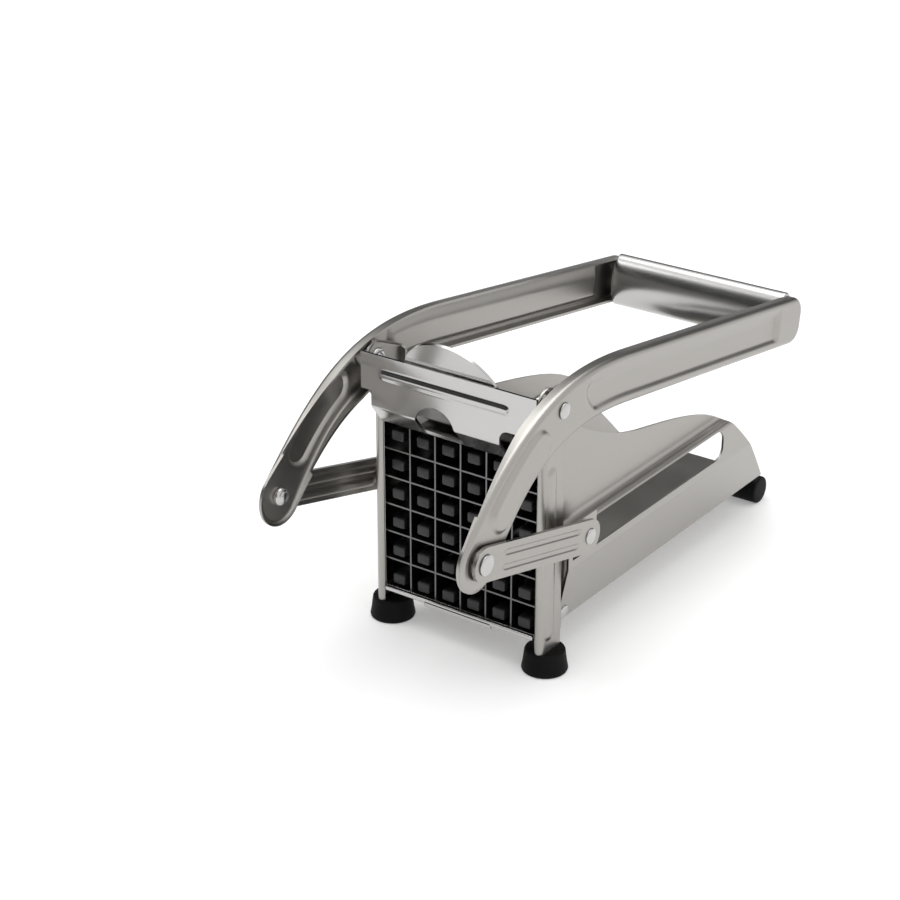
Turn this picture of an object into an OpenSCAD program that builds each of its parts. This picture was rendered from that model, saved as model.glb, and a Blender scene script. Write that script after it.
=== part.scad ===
// French fry cutter: a lever press that drives a potato through a square grid of blades.
// Millimetres, +Z up, +X to the right, +Y from the blade grid towards the handle grip.
// Lengths below are set out from the centre of the grid's front face. setting() then moves the
// machine, so that the origin lies on the table, under the middle of its length.

/* [Cutting grid] */
// Cells along each side of the grid
cells = 6; // [4:1:7]
// Distance from one blade to the next
cell = 12.7; // [11:0.1:14]
// Thickness of a blade
blade_t = 0.7; // [0.5:0.1:1]
// Depth of a blade, front to back
blade_depth = 9; // [7:0.5:12]

/* [Blade cassette] */
// Thickness of the cassette's sheet
cassette_t = 1.2; // [1:0.1:1.6]
// How far the cassette's front lip stands in front of the blades
lip_front = 2.4; // [2:0.1:4]
// Depth of the cassette behind the front of the blades
cassette_depth = 11.6; // [11:0.1:14]
// Distance from the blades forward to the front of the pull plate
flag_front = 9.7; // [8:0.1:12]
// Height of the pull plate's lower bend above the grid
flag_bend_rise = 9.2; // [7:0.1:11]
// Height of the pull plate's shoulders above the grid
flag_shoulder_rise = 16.4; // [14:0.1:18]
// Height of the pull plate's top edge above the grid
flag_rise = 32.3; // [30:0.1:34]
// Half width of the pull plate above its shoulders
flag_half = 42.5; // [41.5:0.1:43]
// Radius of the finger notch in the pull plate
notch_r = 10; // [7:0.5:12]
// Sideways place of the finger notch
notch_x = -6; // [-14:0.5:2]
// Width of the cut at the pull plate's right lower corner
corner_cut = 12; // [8:0.5:16]
// Height of the stiffening bead along the pull plate
flag_bead = 5; // [4:0.5:7]

/* [Body] */
// Thickness of the body's sheet
sheet_t = 1; // [0.8:0.1:1.2]
// Length of the trough behind the blades
trough_len = 188; // [184:1:196]
// How far the slotted bands stand out from the side walls
band_out = 5.2; // [4.8:0.1:5.4]
// Height of the slotted bands' top face above the grid's centre
band_top = 6.3; // [5:0.1:8]
// Depth of the slotted bands' lower bend under the grid's centre
band_low = 12; // [11:0.5:14]
// Height of the slots
slot_h = 13.4; // [12:0.1:14.5]
// Width of the strip left over each slot
slot_margin = 1.7; // [1.5:0.1:2.5]
// Distance from the blades to the slots' rear ends
slot_end = 138; // [136:0.5:145]
// Radius of the bends in the body's sheet
bend_r = 2; // [1.6:0.1:2.4]
// Outer radius of the body's folds
body_bend_r = 2.4; // [1.6:0.1:2.4]
// Height of the side walls' front ends above the grid
wall_rise = 16; // [12:0.5:20]
// Distance from the blades to the waist in the side walls' top edges
waist_y = 75; // [70:1:80]
// Height of that waist above the slotted bands
waist_rise = 20.4; // [16:0.2:24]
// Distance from the blades to the top of the sides' sloping rear edges
shoulder_y = 147.5; // [144:0.5:151]
// Depth of the top of the rear edges under the slotted bands' top
shoulder_drop = 3; // [1:0.1:4]

/* [Posts] */
// Thickness of the posts' sheet
post_t = 1.2; // [1:0.1:1.4]
// How far the posts' outer faces stand outside the side walls
post_out = 2.8; // [2.6:0.1:3]
// Depth of a post, front to back
post_depth = 14.4; // [14:0.1:16]
// Width across a post's rounded front edge
post_fold = 4.5; // [4.2:0.1:4.8]
// Width of the bead down each post
post_bead_w = 6.8; // [5:0.1:8]
// Height of the bead down each post
post_bead_h = 1.2; // [0.8:0.1:1.6]

/* [Feet] */
// Height of the grid's centre above the table
table_drop = 55.4; // [54:0.1:58]
// Height of a front foot
foot_h = 9.7; // [9:0.1:11.6]
// Radius of a front foot at the table
foot_r = 9.7; // [8:0.1:10.5]
// Radius of a front foot at its top
foot_top_r = 8.4; // [7:0.1:9]
// Sideways place of the front feet
foot_x = 39; // [36:0.5:40]
// Distance from the blades back to the front feet's centres
foot_y = 5.1; // [4:0.1:7]
// Radius of a rear rubber sleeve
sleeve_r = 6.5; // [6:0.1:7]
// Length of a rear rubber sleeve
sleeve_len = 14.4; // [10:0.1:18]
// How far the rear rod lies behind the trough's end
rod_back = 4.5; // [2:0.1:5.5]
// Radius of the rear rod
rod_r = 2.5; // [2:0.1:3]

/* [Handle] */
// Distance from the blades back to the handle's pivot
pivot_y = -0.8; // [-2:0.1:1]
// Height of the handle's pivot above the grid's centre
pivot_z = 64.8; // [63:0.1:67]
// Distance from the blades to the lower link pins, forwards negative
crank_y = -56; // [-60:0.5:-52]
// Height of the lower link pins above the grid's centre
crank_z = 22.4; // [19:0.1:24]
// Half of the distance between the arms' outer faces
arm_out = 49.4; // [49:0.1:51]
// Thickness of the arms' sheet
arm_t = 1.2; // [1:0.1:1.5]
// Width of an arm
arm_w = 21.6; // [19:0.1:24]
// Radius of an arm's round lower end
arm_end_r = 12.4; // [11:0.1:13]
// Depth of the arms' turned-in edges
arm_flange = 5.5; // [4:0.1:5.9]
// Angle at which an arm's middle line rises from the lower link pin
curve_rise = 48.4; // [46:0.2:51]
// How far the arm holds that first direction
curve_first = 42.2; // [38:0.2:46]
// How far in front of its straight part the arm takes that part's direction
curve_last = 55.1; // [50:0.2:58]
// Distance from the blades to the start of an arm's straight part
straight_y = 48.8; // [45:0.2:52]
// Height above the grid's centre of the start of the straight part
straight_z = 61.6; // [60:0.1:64]
// Slope of the straight part, falling to the rear
arm_fall = 8.6; // [6:0.1:12]
// Length of the arms' straight part
straight_len = 149.4; // [140:0.2:156]
// Depth of the pressed panels in the arms
press_depth = 1.5; // [1:0.1:1.8]
// Height of an arm's upper edge above its long recess
recess_top = 2.1; // [2:0.1:4]
// Height of that recess
recess_h = 15.8; // [12:0.2:16.4]
// Distance from the recess to the arm's rear end
recess_back = 21.8; // [18:0.2:28]
// Distance that the grip's centre lies in front of the arms' rear ends
grip_inset = 7.4; // [6.8:0.1:9]
// Half depth of the oval grip, front to back
grip_a = 6.2; // [5:0.1:6.6]
// Half height of the oval grip
grip_b = 12.2; // [9:0.1:13]
// Wall of the grip tube
grip_wall = 1.2; // [1:0.1:2]

/* [Links] */
// Distance from the blades to the rear link pins
ear_y = 16.8; // [15:0.1:19]
// Height of the rear link pins above the grid's centre
ear_z = 4.2; // [3:0.1:6]
// Thickness of a link
link_t = 1.6; // [1.2:0.1:2.2]
// Thickness of the washers that hold the links off the arms
washer_t = 0.8; // [0.4:0.1:1.2]
// Width of a link
link_w = 14.2; // [12:0.1:17]
// Width of a link's long grooves
groove_w = 2.6; // [2:0.1:3]
// Depth of a link's long grooves
groove_d = 0.6; // [0.4:0.1:0.8]
// Radius of the pivot pins
pin_r = 2.5; // [2:0.1:3]
// Height of the rivet heads
head_h = 1; // [0.8:0.1:1.6]
// Radius of the handle pivots' and the rear link rivets' heads
head_r = 3.4; // [3.2:0.1:4.2]
// Radius of the lower link rivets' heads
crank_head_r = 4.3; // [3.8:0.1:5]
// Radius of the lower link rivets' inner heads
inner_head_r = 3.8; // [3.4:0.1:5]
// Height of the lower link rivets' inner heads
inner_head_h = 2.8; // [1.5:0.1:3]

/* [Pusher] */
// Length of the pusher's stubs
stub_len = 20.3; // [18:0.1:24]
// Width of a stub at its tip
stub_tip = 6; // [4.5:0.1:6.5]
// Width of a stub at its root
stub_root = 6.8; // [6:0.1:7.4]
// Height of a stub at its tip
stub_tip_h = 4.6; // [4:0.1:5.5]
// Height of a stub at its root
stub_root_h = 5.8; // [5.6:0.1:6.8]
// How much further apart the stubs' rows lie than the grid's rows
stub_spread = 0.6; // [0:0.1:0.7]
// How far the stubs' rows lie under the middles of the cells
stub_drop = 1.2; // [0:0.1:1.3]
// Thickness of the pusher's block
block_t = 7; // [6:0.5:9]
// Thickness of the pusher's carriage sheet
carriage_t = 1.2; // [1:0.1:1.6]
// Height of the carriage's ears above the rear link pins
ear_rise = 6.1; // [5.4:0.1:7.5]
// How far the ears reach in front of those pins
ear_reach = 10.8; // [8:0.1:12]
// Height of the tabs that pass out through the slots
wing_h = 6; // [4:0.2:9]
// Half width of the hood over the pusher
hood_half = 24; // [20:0.5:28]
// Angle that the hood leans forward
hood_lean = 22; // [18:1:24]
// Height of the hood's round top above the pull plate's top edge
hood_over = 14; // [10:0.5:18]
// Radius of the pusher's screws
screw_r = 1.8; // [1.5:0.1:2.5]

/* [Clearances] */
// Gap between pieces that slide past each other
slide_gap = 0.5; // [0.3:0.05:0.7]
// Sideways gap between pieces that turn against each other
side_play = 0.2; // [0.15:0.05:0.3]
// Radial gap round a turning pin
run_gap = 0.05; // [0.02:0.01:0.1]
// Gap round a blade in its slots
blade_gap = 0.05; // [0.02:0.01:0.1]

/* [Hidden] */
$fn = 48;

// Finishes
satin = [0.72, 0.71, 0.69];
polished = [0.86, 0.86, 0.88];
rubber = [0.08, 0.08, 0.09];
plastic = [0.1, 0.1, 0.11];
zinc = [0.66, 0.66, 0.68];

eps = 0.01;
far = 400;

// Grid and cassette
grid = cells * cell;
half = grid / 2;
cass_x = half + cassette_t;
lip_y = -lip_front;
flag_bend = half + flag_bend_rise;
flag_shoulder = half + flag_shoulder_rise;
flag_top = half + flag_rise;
flag_low_half = half - 0.7;
notch_z = flag_shoulder - notch_r;
blade_end = half + cassette_t - 0.2;
ear_strip_x = cass_x + 1.3;
ear_strip_y = lip_y + post_t + 0.6;
ear_strip_t = 1.2;
lip_t = 2;
tab_half = 17;
tab_drop = 1.4;
bead_z = half + 24.4;
bead_left = -flag_half + 8.7;
bead_right = flag_half - 12;
bead_h = 1;

// Body
wall_in = half + 0.2;
wall_x = wall_in + sheet_t;
floor_top = -half - 0.1;
floor_low = floor_top - sheet_t;
skirt_x = wall_in + 0.4;
band_x = wall_x + band_out;
wall_high = half + wall_rise;
waist = [waist_y, band_top + waist_rise];
shoulder = [shoulder_y, band_top - shoulder_drop];
heel = [trough_len, floor_low];
front_fall = 34.3;
waist_fall = 10.7;
rear_fall = 41;
heel_fall = 49.2;
front_pull = 20.6;
waist_pull = [25.5, 34.6];
rear_pull = [17, 17];
heel_pull = 27.4;
rivet_r = 1.6;
rivet_head_r = 3;

body_front = cassette_depth + 1.4;
mouth_front = ear_strip_y + ear_strip_t + slide_gap;
slot_top = band_top - slot_margin;
slot_low = slot_top - slot_h;
slot_front = body_front + 3;
slot_r = 5;

// Front feet
foot_tab_t = 1.4;
foot_tab_x = foot_x - 4;
foot_tab_half = 4.6;
foot_cover = 1.5;
foot_roof = 0.6;
foot_recess = 4;
foot_rim = 0.4;

// Posts
post_x = wall_x + post_out;
post_in = post_x - post_t;
post_front = lip_y;
post_rear = post_front + post_depth;
post_stand = foot_h - table_drop;
post_low = post_stand - foot_cover - foot_tab_t;
post_fold_hub = [post_x - post_fold / 2, post_front + post_fold / 2];
post_bead_low = -half - 2.1;
post_high_front = -flag_front + cassette_t + 0.3;
post_high_rear = post_rear + 4;
post_neck = half + 4;
post_shoulder = pivot_z + 0.6;
post_rear_flange = 3.6;
mouth_x = post_in;
mouth_low = -half - cassette_t - 0.2 - sheet_t;
bead_y = post_front + 1.8 + post_bead_w / 2;

// Handle
pivot = [pivot_y, pivot_z];
crank = [crank_y, crank_z];
arm_in = arm_out - arm_t;
arm_edge = arm_out - arm_flange;
arm_half = arm_w / 2;
arm_way = falling(arm_fall);
straight = [straight_y, straight_z];
arm_end = straight + straight_len * arm_way;
arm_corner_r = 8;
grip = arm_end - grip_inset * arm_way;
curve_low = crank + curve_first * [cos(curve_rise), sin(curve_rise)];
curve_high = straight - curve_last * arm_way;
panel_half = arm_half - 3.7;
curved_panel = [0.168, 0.46];
recess_from = 0.785;
recess_nose = 1.3;
recess_to = straight_len - recess_back;
post_top_r = pivot_y - post_high_front;

// Links
link_in = arm_out + washer_t + side_play;
link_x = link_in + link_t;
ear = [ear_y, ear_z];
ear_x = band_x + 1.7 + carriage_t;
link_way = (ear - crank) / norm(ear - crank);
link_len = norm(ear - crank);
groove_gap = 3;
groove_from = 13.5;
groove_to = link_len - 9.5;

// Pusher
block_half = half - slide_gap;
stub_pitch = cell + stub_spread;
stub_taper = [stub_tip / stub_root, stub_tip_h / stub_root_h];
block_rear = stub_len + block_t;
plate_rear = block_rear + carriage_t;
wing_high = slot_top - 1.6;
wing_low = wing_high - wing_h;
ear_top = ear_z + ear_rise;
ear_front = ear_y - ear_reach;
ear_corner = 3.5;
shelf_z = half + 3;
hood_foot = -flag_front + cassette_t + 0.55 + (flag_top - shelf_z) * tan(hood_lean);
hood_tab_low = half - 20;
dome_at = (flag_top - shelf_z) / cos(hood_lean) + hood_over - hood_half;
screw_x = block_half - 8;
screw_z = block_half - 12;
hood_screw_x = 14;
hood_screw_z = half - 11;
screw_in = block_t - 1.5;
screw_head_r = 3.6;
screw_head_h = 2.2;

// Rear feet
bracket_t = 1.2;
bracket_len = 22;
bracket_rivet_in = 10;
lug_t = 1.6;
sleeve_x = wall_in - 2;
sleeve_cap = 3;
sleeve_flat = 0.3;
lug_x = sleeve_x - sleeve_len - 0.5 - lug_t;
lug_r = 5;
rod = [trough_len + rod_back, sleeve_r - sleeve_flat - table_drop];

// Whole machine, front to back
front_y = crank_y - arm_end_r;
rear_y = max(rod[0] + sleeve_r, arm_end[0]);

// Puts the origin on the table, under the middle of the machine's length
module setting() translate([0, -(front_y + rear_y) / 2, table_drop]) children();

// The child and its mirror image on the left
module both() {
    children();
    mirror([1, 0, 0]) children();
}

// Round bar along X from x0 to x1, its axis at [y, z]
module bar(x0, x1, r, at) translate([x0, at[0], at[1]]) rotate([0, 90, 0]) cylinder(r = r, h = x1 - x0);

// Domed head that stands on the plane x = x0 and points to +X
module dome(x0, r, at, h = head_h)
    translate([x0, at[0], at[1]]) rotate([0, 90, 0]) rotate_extrude() polygon([
        [0, 0], [r, 0],
        for (a = [0:15:75]) [r * cos(a), h * (0.3 + 0.7 * sin(a))],
        [0, h]
    ]);

// An outline in Y and Z, made solid from x0 to x1
module slab(x0, x1) translate([x0, 0, 0]) rotate([90, 0, 90]) linear_extrude(x1 - x0) children();

// An outline in X and Z, made solid from y0 to y1
module wall(y0, y1) translate([0, y1, 0]) rotate([90, 0, 0]) linear_extrude(y1 - y0) children();

// Rectangle between two corners
module box(a, b) translate(a) square(b - a);

function unit(v) = v / norm(v);
function left(v) = [-v[1], v[0]];
function falling(a) = [cos(a), -sin(a)];
function flipped(p) = [for (i = [len(p) - 1:-1:0]) p[i]];
function mirrored(p) = [for (q = flipped(p)) [-q[0], q[1]]];
function arc(hub, r, a0, a1, n = 8) =
    [for (k = [0:n]) let (a = a0 + (a1 - a0) * k / n) hub + r * [cos(a), sin(a)]];
function curve(a, b, c, d, t) =
    pow(1 - t, 3) * a + 3 * pow(1 - t, 2) * t * b + 3 * (1 - t) * t * t * c + pow(t, 3) * d;
// Points of a curve from a to b, after a itself: it leaves a by the way p and comes to b by the way q
function bowed(a, p, q, b) = [for (t = [0.125:0.125:1]) curve(a, a + p, b - q, b, t)];

// A line with each of its inner corners rounded to radius r
function soft(p, r, n = 4) = [
    for (i = [0:len(p) - 1])
        each i == 0 || i == len(p) - 1
            ? [p[i]]
            : bend(p[i], unit(p[i - 1] - p[i]), unit(p[i + 1] - p[i]), r, n)
];
// One rounded corner between the ways a and b that leave it
function bend(at, a, b, r, n) =
    let (
        opening = acos(a * b) / 2,
        hub = at + unit(a + b) * r / sin(opening),
        from = at + a * r / tan(opening) - hub,
        to = at + b * r / tan(opening) - hub,
        turn = atan2(from[0] * to[1] - from[1] * to[0], from * to)
    )
    [for (k = [0:n]) let (t = turn * k / n) hub + from * cos(t) + left(from) * sin(t)];

// A line moved to its right by t, with mitred corners, and the sheet between the two
function beside(p, t) = [
    for (i = [0:len(p) - 1])
        let (
            before = unit(p[max(i, 1)] - p[max(i, 1) - 1]),
            after = unit(p[min(i, len(p) - 2) + 1] - p[min(i, len(p) - 2)]),
            way = -unit(left(before) + left(after))
        )
        p[i] + way * t / (way * -left(before))
];
function sheet(p, t) = concat(p, flipped(beside(p, t)));

// ---- Body ----

// The folded sheet's outer face, from the top of the right wall round to the left one
body_half_line = [
    [wall_x, wall_high + 10], [wall_x, band_top], [band_x, band_top], [band_x, -band_low],
    [skirt_x, floor_low]
];
body_line = soft(concat(body_half_line, mirrored(body_half_line)), body_bend_r);
skirt_tilt = atan((band_x - skirt_x) / (-band_low - floor_low));
// The same line just inside the sheet's outer face, under the band's top
collar_half_line = [
    [wall_x, band_top - eps], [band_x - eps, band_top - eps], [band_x - eps, -band_low],
    [skirt_x - eps, floor_low + eps]
];
collar_line = soft(concat(collar_half_line, mirrored(collar_half_line)), body_bend_r);

// Side view of the body: a front edge, a top edge that dips to the rear, and a sloping rear edge
side_front = [body_front, wall_high];
body_side = concat(
    [[body_front, floor_low - 5], side_front],
    bowed(side_front, front_pull * falling(front_fall), waist_pull[0] * falling(waist_fall), waist),
    bowed(waist, waist_pull[1] * falling(waist_fall), rear_pull[0] * falling(rear_fall), shoulder),
    bowed(shoulder, rear_pull[1] * falling(rear_fall), heel_pull * falling(heel_fall), heel),
    [heel + [0, -5]]
);

module slot_outline() {
    box([slot_front, slot_low], [slot_end - slot_r, slot_top]);
    box([slot_end - slot_r - eps, slot_low + slot_r], [slot_end, slot_top - slot_r]);
    for (z = [slot_low + slot_r, slot_top - slot_r]) translate([slot_end - slot_r, z]) circle(slot_r);
}

module skirt_place(y, z) {
    x = skirt_x + (z - floor_low) * tan(skirt_tilt);
    translate([x, y, z]) rotate([0, skirt_tilt, 0]) children();
}
rivet_y = body_front + 4;
rivet_z = floor_low + 5;

module body_shell() color(satin) setting() difference() {
    union() {
        intersection() {
            wall(body_front, trough_len + 5) polygon(sheet(body_line, sheet_t));
            slab(-far, far) polygon(body_side);
        }
        // Mouth that holds the cassette, one sheet outside the trough
        wall(mouth_front, body_front + sheet_t) polygon(sheet([
            [mouth_x, wall_high - 2], [mouth_x, mouth_low], [-mouth_x, mouth_low], [-mouth_x, wall_high - 2]
        ], sheet_t));
        // Collar between the mouth and the trough
        wall(body_front, body_front + sheet_t) difference() {
            union() {
                box([-mouth_x, mouth_low], [mouth_x, wall_high - 2]);
                polygon(collar_line);
            }
            box([-wall_in, floor_top], [wall_in, wall_high]);
        }
    }
    slab(-far, far) slot_outline();
    both() skirt_place(rivet_y, rivet_z) bar(-2 * sheet_t, sheet_t, rivet_r + run_gap, [0, 0]);
    bracket_rivet_places() translate([0, 0, -sheet_t]) cylinder(r = rivet_r + run_gap, h = 3 * sheet_t);
}

module skirt_rivets() color(satin) setting() both() skirt_place(rivet_y, rivet_z) {
    dome(0, rivet_head_r, [0, 0], head_h);
    bar(-sheet_t - 0.8, eps, rivet_r, [0, 0]);
}

// ---- Posts ----

module post() difference() {
    union() {
        slab(post_in, post_x) polygon(concat(
            [[post_fold_hub[1] - eps, post_stand], [post_rear, post_stand], [post_rear, post_neck],
             [post_high_rear, post_neck + 8], [post_high_rear, post_shoulder]],
            arc(pivot, post_top_r, 62, 180),
            [[post_high_front, post_neck + 14], [post_fold_hub[1] - eps, post_neck + 4]]
        ));
        // Rounded front edge, and the short flange at the top of the rear edge
        translate([0, 0, post_stand]) linear_extrude(post_neck + 4 - post_stand) polygon(concat(
            arc(post_fold_hub, post_fold / 2, 0, -145, 12),
            arc(post_fold_hub, post_fold / 2 - post_t, -145, 0, 12)
        ));
        translate([post_x - post_rear_flange, post_high_rear - post_t, post_neck + 8])
            cube([post_rear_flange, post_t, post_shoulder - post_neck - 8]);
        // Stem and tab inside the rubber foot
        translate([post_in, foot_y - foot_tab_half, post_low])
            cube([post_t, 2 * foot_tab_half, post_stand - post_low + eps]);
        translate([foot_tab_x, foot_y - foot_tab_half, post_low])
            cube([post_x - foot_tab_x, 2 * foot_tab_half, foot_tab_t]);
        // Bead down the outer face
        intersection() {
            bead_r = (pow(post_bead_w / 2, 2) + pow(post_bead_h, 2)) / (2 * post_bead_h);
            translate([post_x + post_bead_h - bead_r, bead_y, post_bead_low])
                cylinder(r = bead_r, h = half - 1 - post_bead_low);
            translate([post_x - 0.3, bead_y - post_bead_w, post_bead_low - 1])
                cube([post_bead_h + 1, 2 * post_bead_w, half + 1 - post_bead_low]);
        }
    }
    bar(post_in - 1, post_x + 1, pin_r + run_gap, pivot);
    translate([foot_x, foot_y, post_low - 1]) cylinder(r = screw_r + run_gap, h = foot_tab_t + 2);
}
module post_right() color(satin) setting() post();
module post_left() color(satin) setting() mirror([1, 0, 0]) post();

// ---- Blade cassette ----

// Front and lower face of the cassette's top sheet, from its rear edge to the pull plate's top
flag_line = soft([
    [cassette_depth, half], [lip_y, half], [-flag_front, flag_bend], [-flag_front, flag_top]
], bend_r);

module flag_outline() {
    box([-flag_low_half, half - 1], [flag_low_half, flag_shoulder + eps]);
    box([-flag_half, flag_shoulder], [flag_half, flag_top + 1]);
}

module flag_cuts() {
    translate([notch_x, notch_z]) circle(notch_r);
    box([notch_x - notch_r, half + cassette_t], [notch_x + notch_r, notch_z]);
    corner = flag_low_half - corner_cut;
    polygon(concat(
        [[corner, half + cassette_t]],
        arc([corner + 4, flag_shoulder - 5], 4, 180, 90),
        [[flag_half + 1, flag_shoulder - 1], [flag_half + 1, half + cassette_t]]
    ));
}

// Front view of the top sheet's level part
module top_part(x) box([-x, half - 1], [x, half + cassette_t + 1]);

module cassette_frame() color(polished) setting() difference() {
    union() {
        intersection() {
            slab(-flag_half, flag_half) polygon(sheet(flag_line, cassette_t));
            union() {
                wall(-flag_front - 1, lip_y) flag_outline();
                wall(lip_y - eps, ear_strip_y + eps) top_part(flag_low_half);
                wall(ear_strip_y, cassette_depth) top_part(cass_x);
            }
        }
        // Lip in front of the opening's lower edge
        wall(lip_y, ear_strip_y + eps) box([-flag_low_half, -half - lip_t], [flag_low_half, -half]);
        // Sides and bottom
        wall(ear_strip_y, cassette_depth) difference() {
            box([-cass_x, -half - cassette_t], [cass_x, half + cassette_t / 2]);
            box([-half, -half], [half, half + cassette_t]);
        }
        // Strips that slide behind the posts' front edges
        both() translate([half, ear_strip_y, -half - cassette_t])
            cube([ear_strip_x - half, ear_strip_t, grid + cassette_t]);
        // Tab under the front lip
        translate([-tab_half, lip_y, -half - lip_t - tab_drop])
            cube([2 * tab_half, cassette_t, tab_drop + eps]);
        // Stiffening bead
        wall(-flag_front - bead_h, -flag_front + eps) hull()
            for (x = [bead_left + flag_bead / 2, bead_right - flag_bead / 2])
                translate([x, bead_z]) circle(flag_bead / 2);
    }
    wall(-flag_front - 2, lip_y - bend_r / 2) flag_cuts();
    // Slots that hold the blades
    for (i = [1:cells - 1]) {
        at = i * cell - half;
        translate([at - blade_t / 2 - blade_gap, -blade_gap, -half - cassette_t - 1])
            cube([blade_t + 2 * blade_gap, blade_depth + 2 * blade_gap, grid + 2 * cassette_t + 2]);
        translate([-half - cassette_t - 1, -blade_gap, at - blade_t / 2 - blade_gap])
            cube([grid + 2 * cassette_t + 2, blade_depth + 2 * blade_gap, blade_t + 2 * blade_gap]);
    }
}

// One blade standing on edge, notched from y0 to y1 at each crossing
module blade(y0, y1) difference() {
    translate([-blade_t / 2, 0, -blade_end]) cube([blade_t, blade_depth, 2 * blade_end]);
    for (i = [1:cells - 1])
        translate([-blade_t, y0, i * cell - half - blade_t / 2 - blade_gap])
            cube([2 * blade_t, y1 - y0, blade_t + 2 * blade_gap]);
}
module blades_upright() color(polished) setting()
    for (i = [1:cells - 1]) translate([i * cell - half, 0, 0])
        blade(blade_depth / 2 - blade_gap, blade_depth + 1);
module blades_level() color(polished) setting()
    for (i = [1:cells - 1]) translate([0, 0, i * cell - half]) rotate([0, 90, 0])
        blade(-1, blade_depth / 2 + blade_gap);

// ---- Feet ----

// Rubber cone with a screw's recess below, moulded over the post's stem and tab
module front_foot() difference() {
    translate([foot_x, foot_y, -table_drop]) rotate_extrude() polygon([
        [0, foot_h - foot_roof], [screw_r + foot_rim, foot_h - foot_roof], [screw_r + foot_rim, foot_recess],
        [screw_head_r + foot_rim, foot_recess], [screw_head_r + foot_rim, 0], [foot_r - 2 * foot_rim, 0],
        [foot_r, 3 * foot_rim], [foot_top_r, foot_h - foot_rim], [foot_top_r - foot_rim, foot_h], [0, foot_h]
    ]);
    translate([foot_tab_x - run_gap, foot_y - foot_tab_half - run_gap, post_low - run_gap])
        cube([post_x - foot_tab_x + 2 * run_gap, 2 * (foot_tab_half + run_gap), foot_tab_t + 2 * run_gap]);
    translate([post_in - run_gap, foot_y - foot_tab_half - run_gap, post_low])
        cube([post_t + 2 * run_gap, 2 * (foot_tab_half + run_gap), foot_h]);
}
module front_foot_right() color(rubber) setting() front_foot();
module front_foot_left() color(rubber) setting() mirror([1, 0, 0]) front_foot();
module front_foot_screws() color(zinc) setting() both() translate([foot_x, foot_y, -table_drop]) {
    translate([0, 0, foot_recess - screw_head_h]) cylinder(r = screw_head_r, h = screw_head_h);
    translate([0, 0, foot_recess - eps])
        cylinder(r = screw_r, h = foot_h - foot_cover + foot_rim - foot_recess);
}

module rear_bracket() color(satin) setting() difference() {
    union() {
        translate([-wall_in + 2, trough_len - bracket_len - 2, floor_low - bracket_t])
            cube([2 * wall_in - 4, bracket_len, bracket_t]);
        both() slab(lug_x, lug_x + lug_t) polygon(concat(
            [[rod[0] - 16, floor_low - bracket_t / 2]],
            arc(rod, lug_r, 200, 405, 12),
            [[trough_len - 2, floor_low - bracket_t / 2]]
        ));
    }
    bar(-far, far, rod_r + run_gap, rod);
    bracket_rivet_places() translate([0, 0, -2 * bracket_t])
        cylinder(r = rivet_r + run_gap, h = 3 * bracket_t);
}
module bracket_rivet_places()
    for (x = [-1, 1] * (wall_in - bracket_rivet_in))
        translate([x, trough_len - bracket_len / 2 - 2, floor_low]) children();
module rear_bracket_rivets() color(zinc) setting() bracket_rivet_places() {
    translate([0, 0, -bracket_t]) rotate([0, 90, 0]) dome(0, rivet_head_r, [0, 0], head_h);
    translate([0, 0, -bracket_t - eps]) cylinder(r = rivet_r, h = bracket_t + sheet_t + 0.4);
}
rod_half = sleeve_x - sleeve_cap - 0.2;
module rear_rod() color(zinc) setting() bar(-rod_half, rod_half, rod_r, rod);
module rear_sleeve() difference() {
    bar(sleeve_x - sleeve_len, sleeve_x, sleeve_r, rod);
    bar(sleeve_x - sleeve_len - 1, sleeve_x - sleeve_cap, rod_r + run_gap, rod);
    translate([0, rod[0] - sleeve_r, -table_drop - 5]) cube([far, 2 * sleeve_r, 5]);
}
module rear_sleeve_right() color(rubber) setting() rear_sleeve();
module rear_sleeve_left() color(rubber) setting() mirror([1, 0, 0]) rear_sleeve();

// ---- Handle ----

module pivot_rivet() {
    bar(post_in - 1.5, post_in, pin_r + 1.8, pivot);
    bar(post_in - eps, arm_out + side_play + eps, pin_r, pivot);
    dome(arm_out + side_play, head_r, pivot);
}
module pivot_rivet_right() color(zinc) setting() pivot_rivet();
module pivot_rivet_left() color(zinc) setting() mirror([1, 0, 0]) pivot_rivet();

module pivot_bush() difference() {
    bar(post_x, arm_in - side_play, pin_r + 3, pivot);
    bar(post_x - 1, arm_in, pin_r + run_gap, pivot);
}
module pivot_bush_right() color(zinc) setting() pivot_bush();
module pivot_bush_left() color(zinc) setting() mirror([1, 0, 0]) pivot_bush();

// Middle line of an arm's curved part, and its direction
function arm_mid(t) = curve(crank, curve_low, curve_high, straight, t);
function arm_dir(t) = unit(arm_mid(t + 0.01) - arm_mid(t - 0.01));
function arm_wide(t) = arm_half + (arm_end_r - arm_half) * pow(1 - min(1, t / 0.4), 2);

// Outline of an arm, drawn in by d
function arm_outline(d) = concat(
    [for (t = [0:0.0625:1]) arm_mid(t) + left(arm_dir(t)) * (arm_wide(t) - d)],
    arc(arm_end - arm_corner_r * arm_way + (arm_half - arm_corner_r) * left(arm_way), arm_corner_r - d,
        90 - arm_fall, -arm_fall, 6),
    arc(arm_end - arm_corner_r * arm_way - (arm_half - arm_corner_r) * left(arm_way), arm_corner_r - d,
        -arm_fall, -90 - arm_fall, 6),
    [for (t = [1:-0.0625:0]) arm_mid(t) - left(arm_dir(t)) * (arm_wide(t) - d)],
    arc(crank, arm_end_r - d, curve_rise - 90 - 12, curve_rise - 270 + 12, 12)
);

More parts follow.
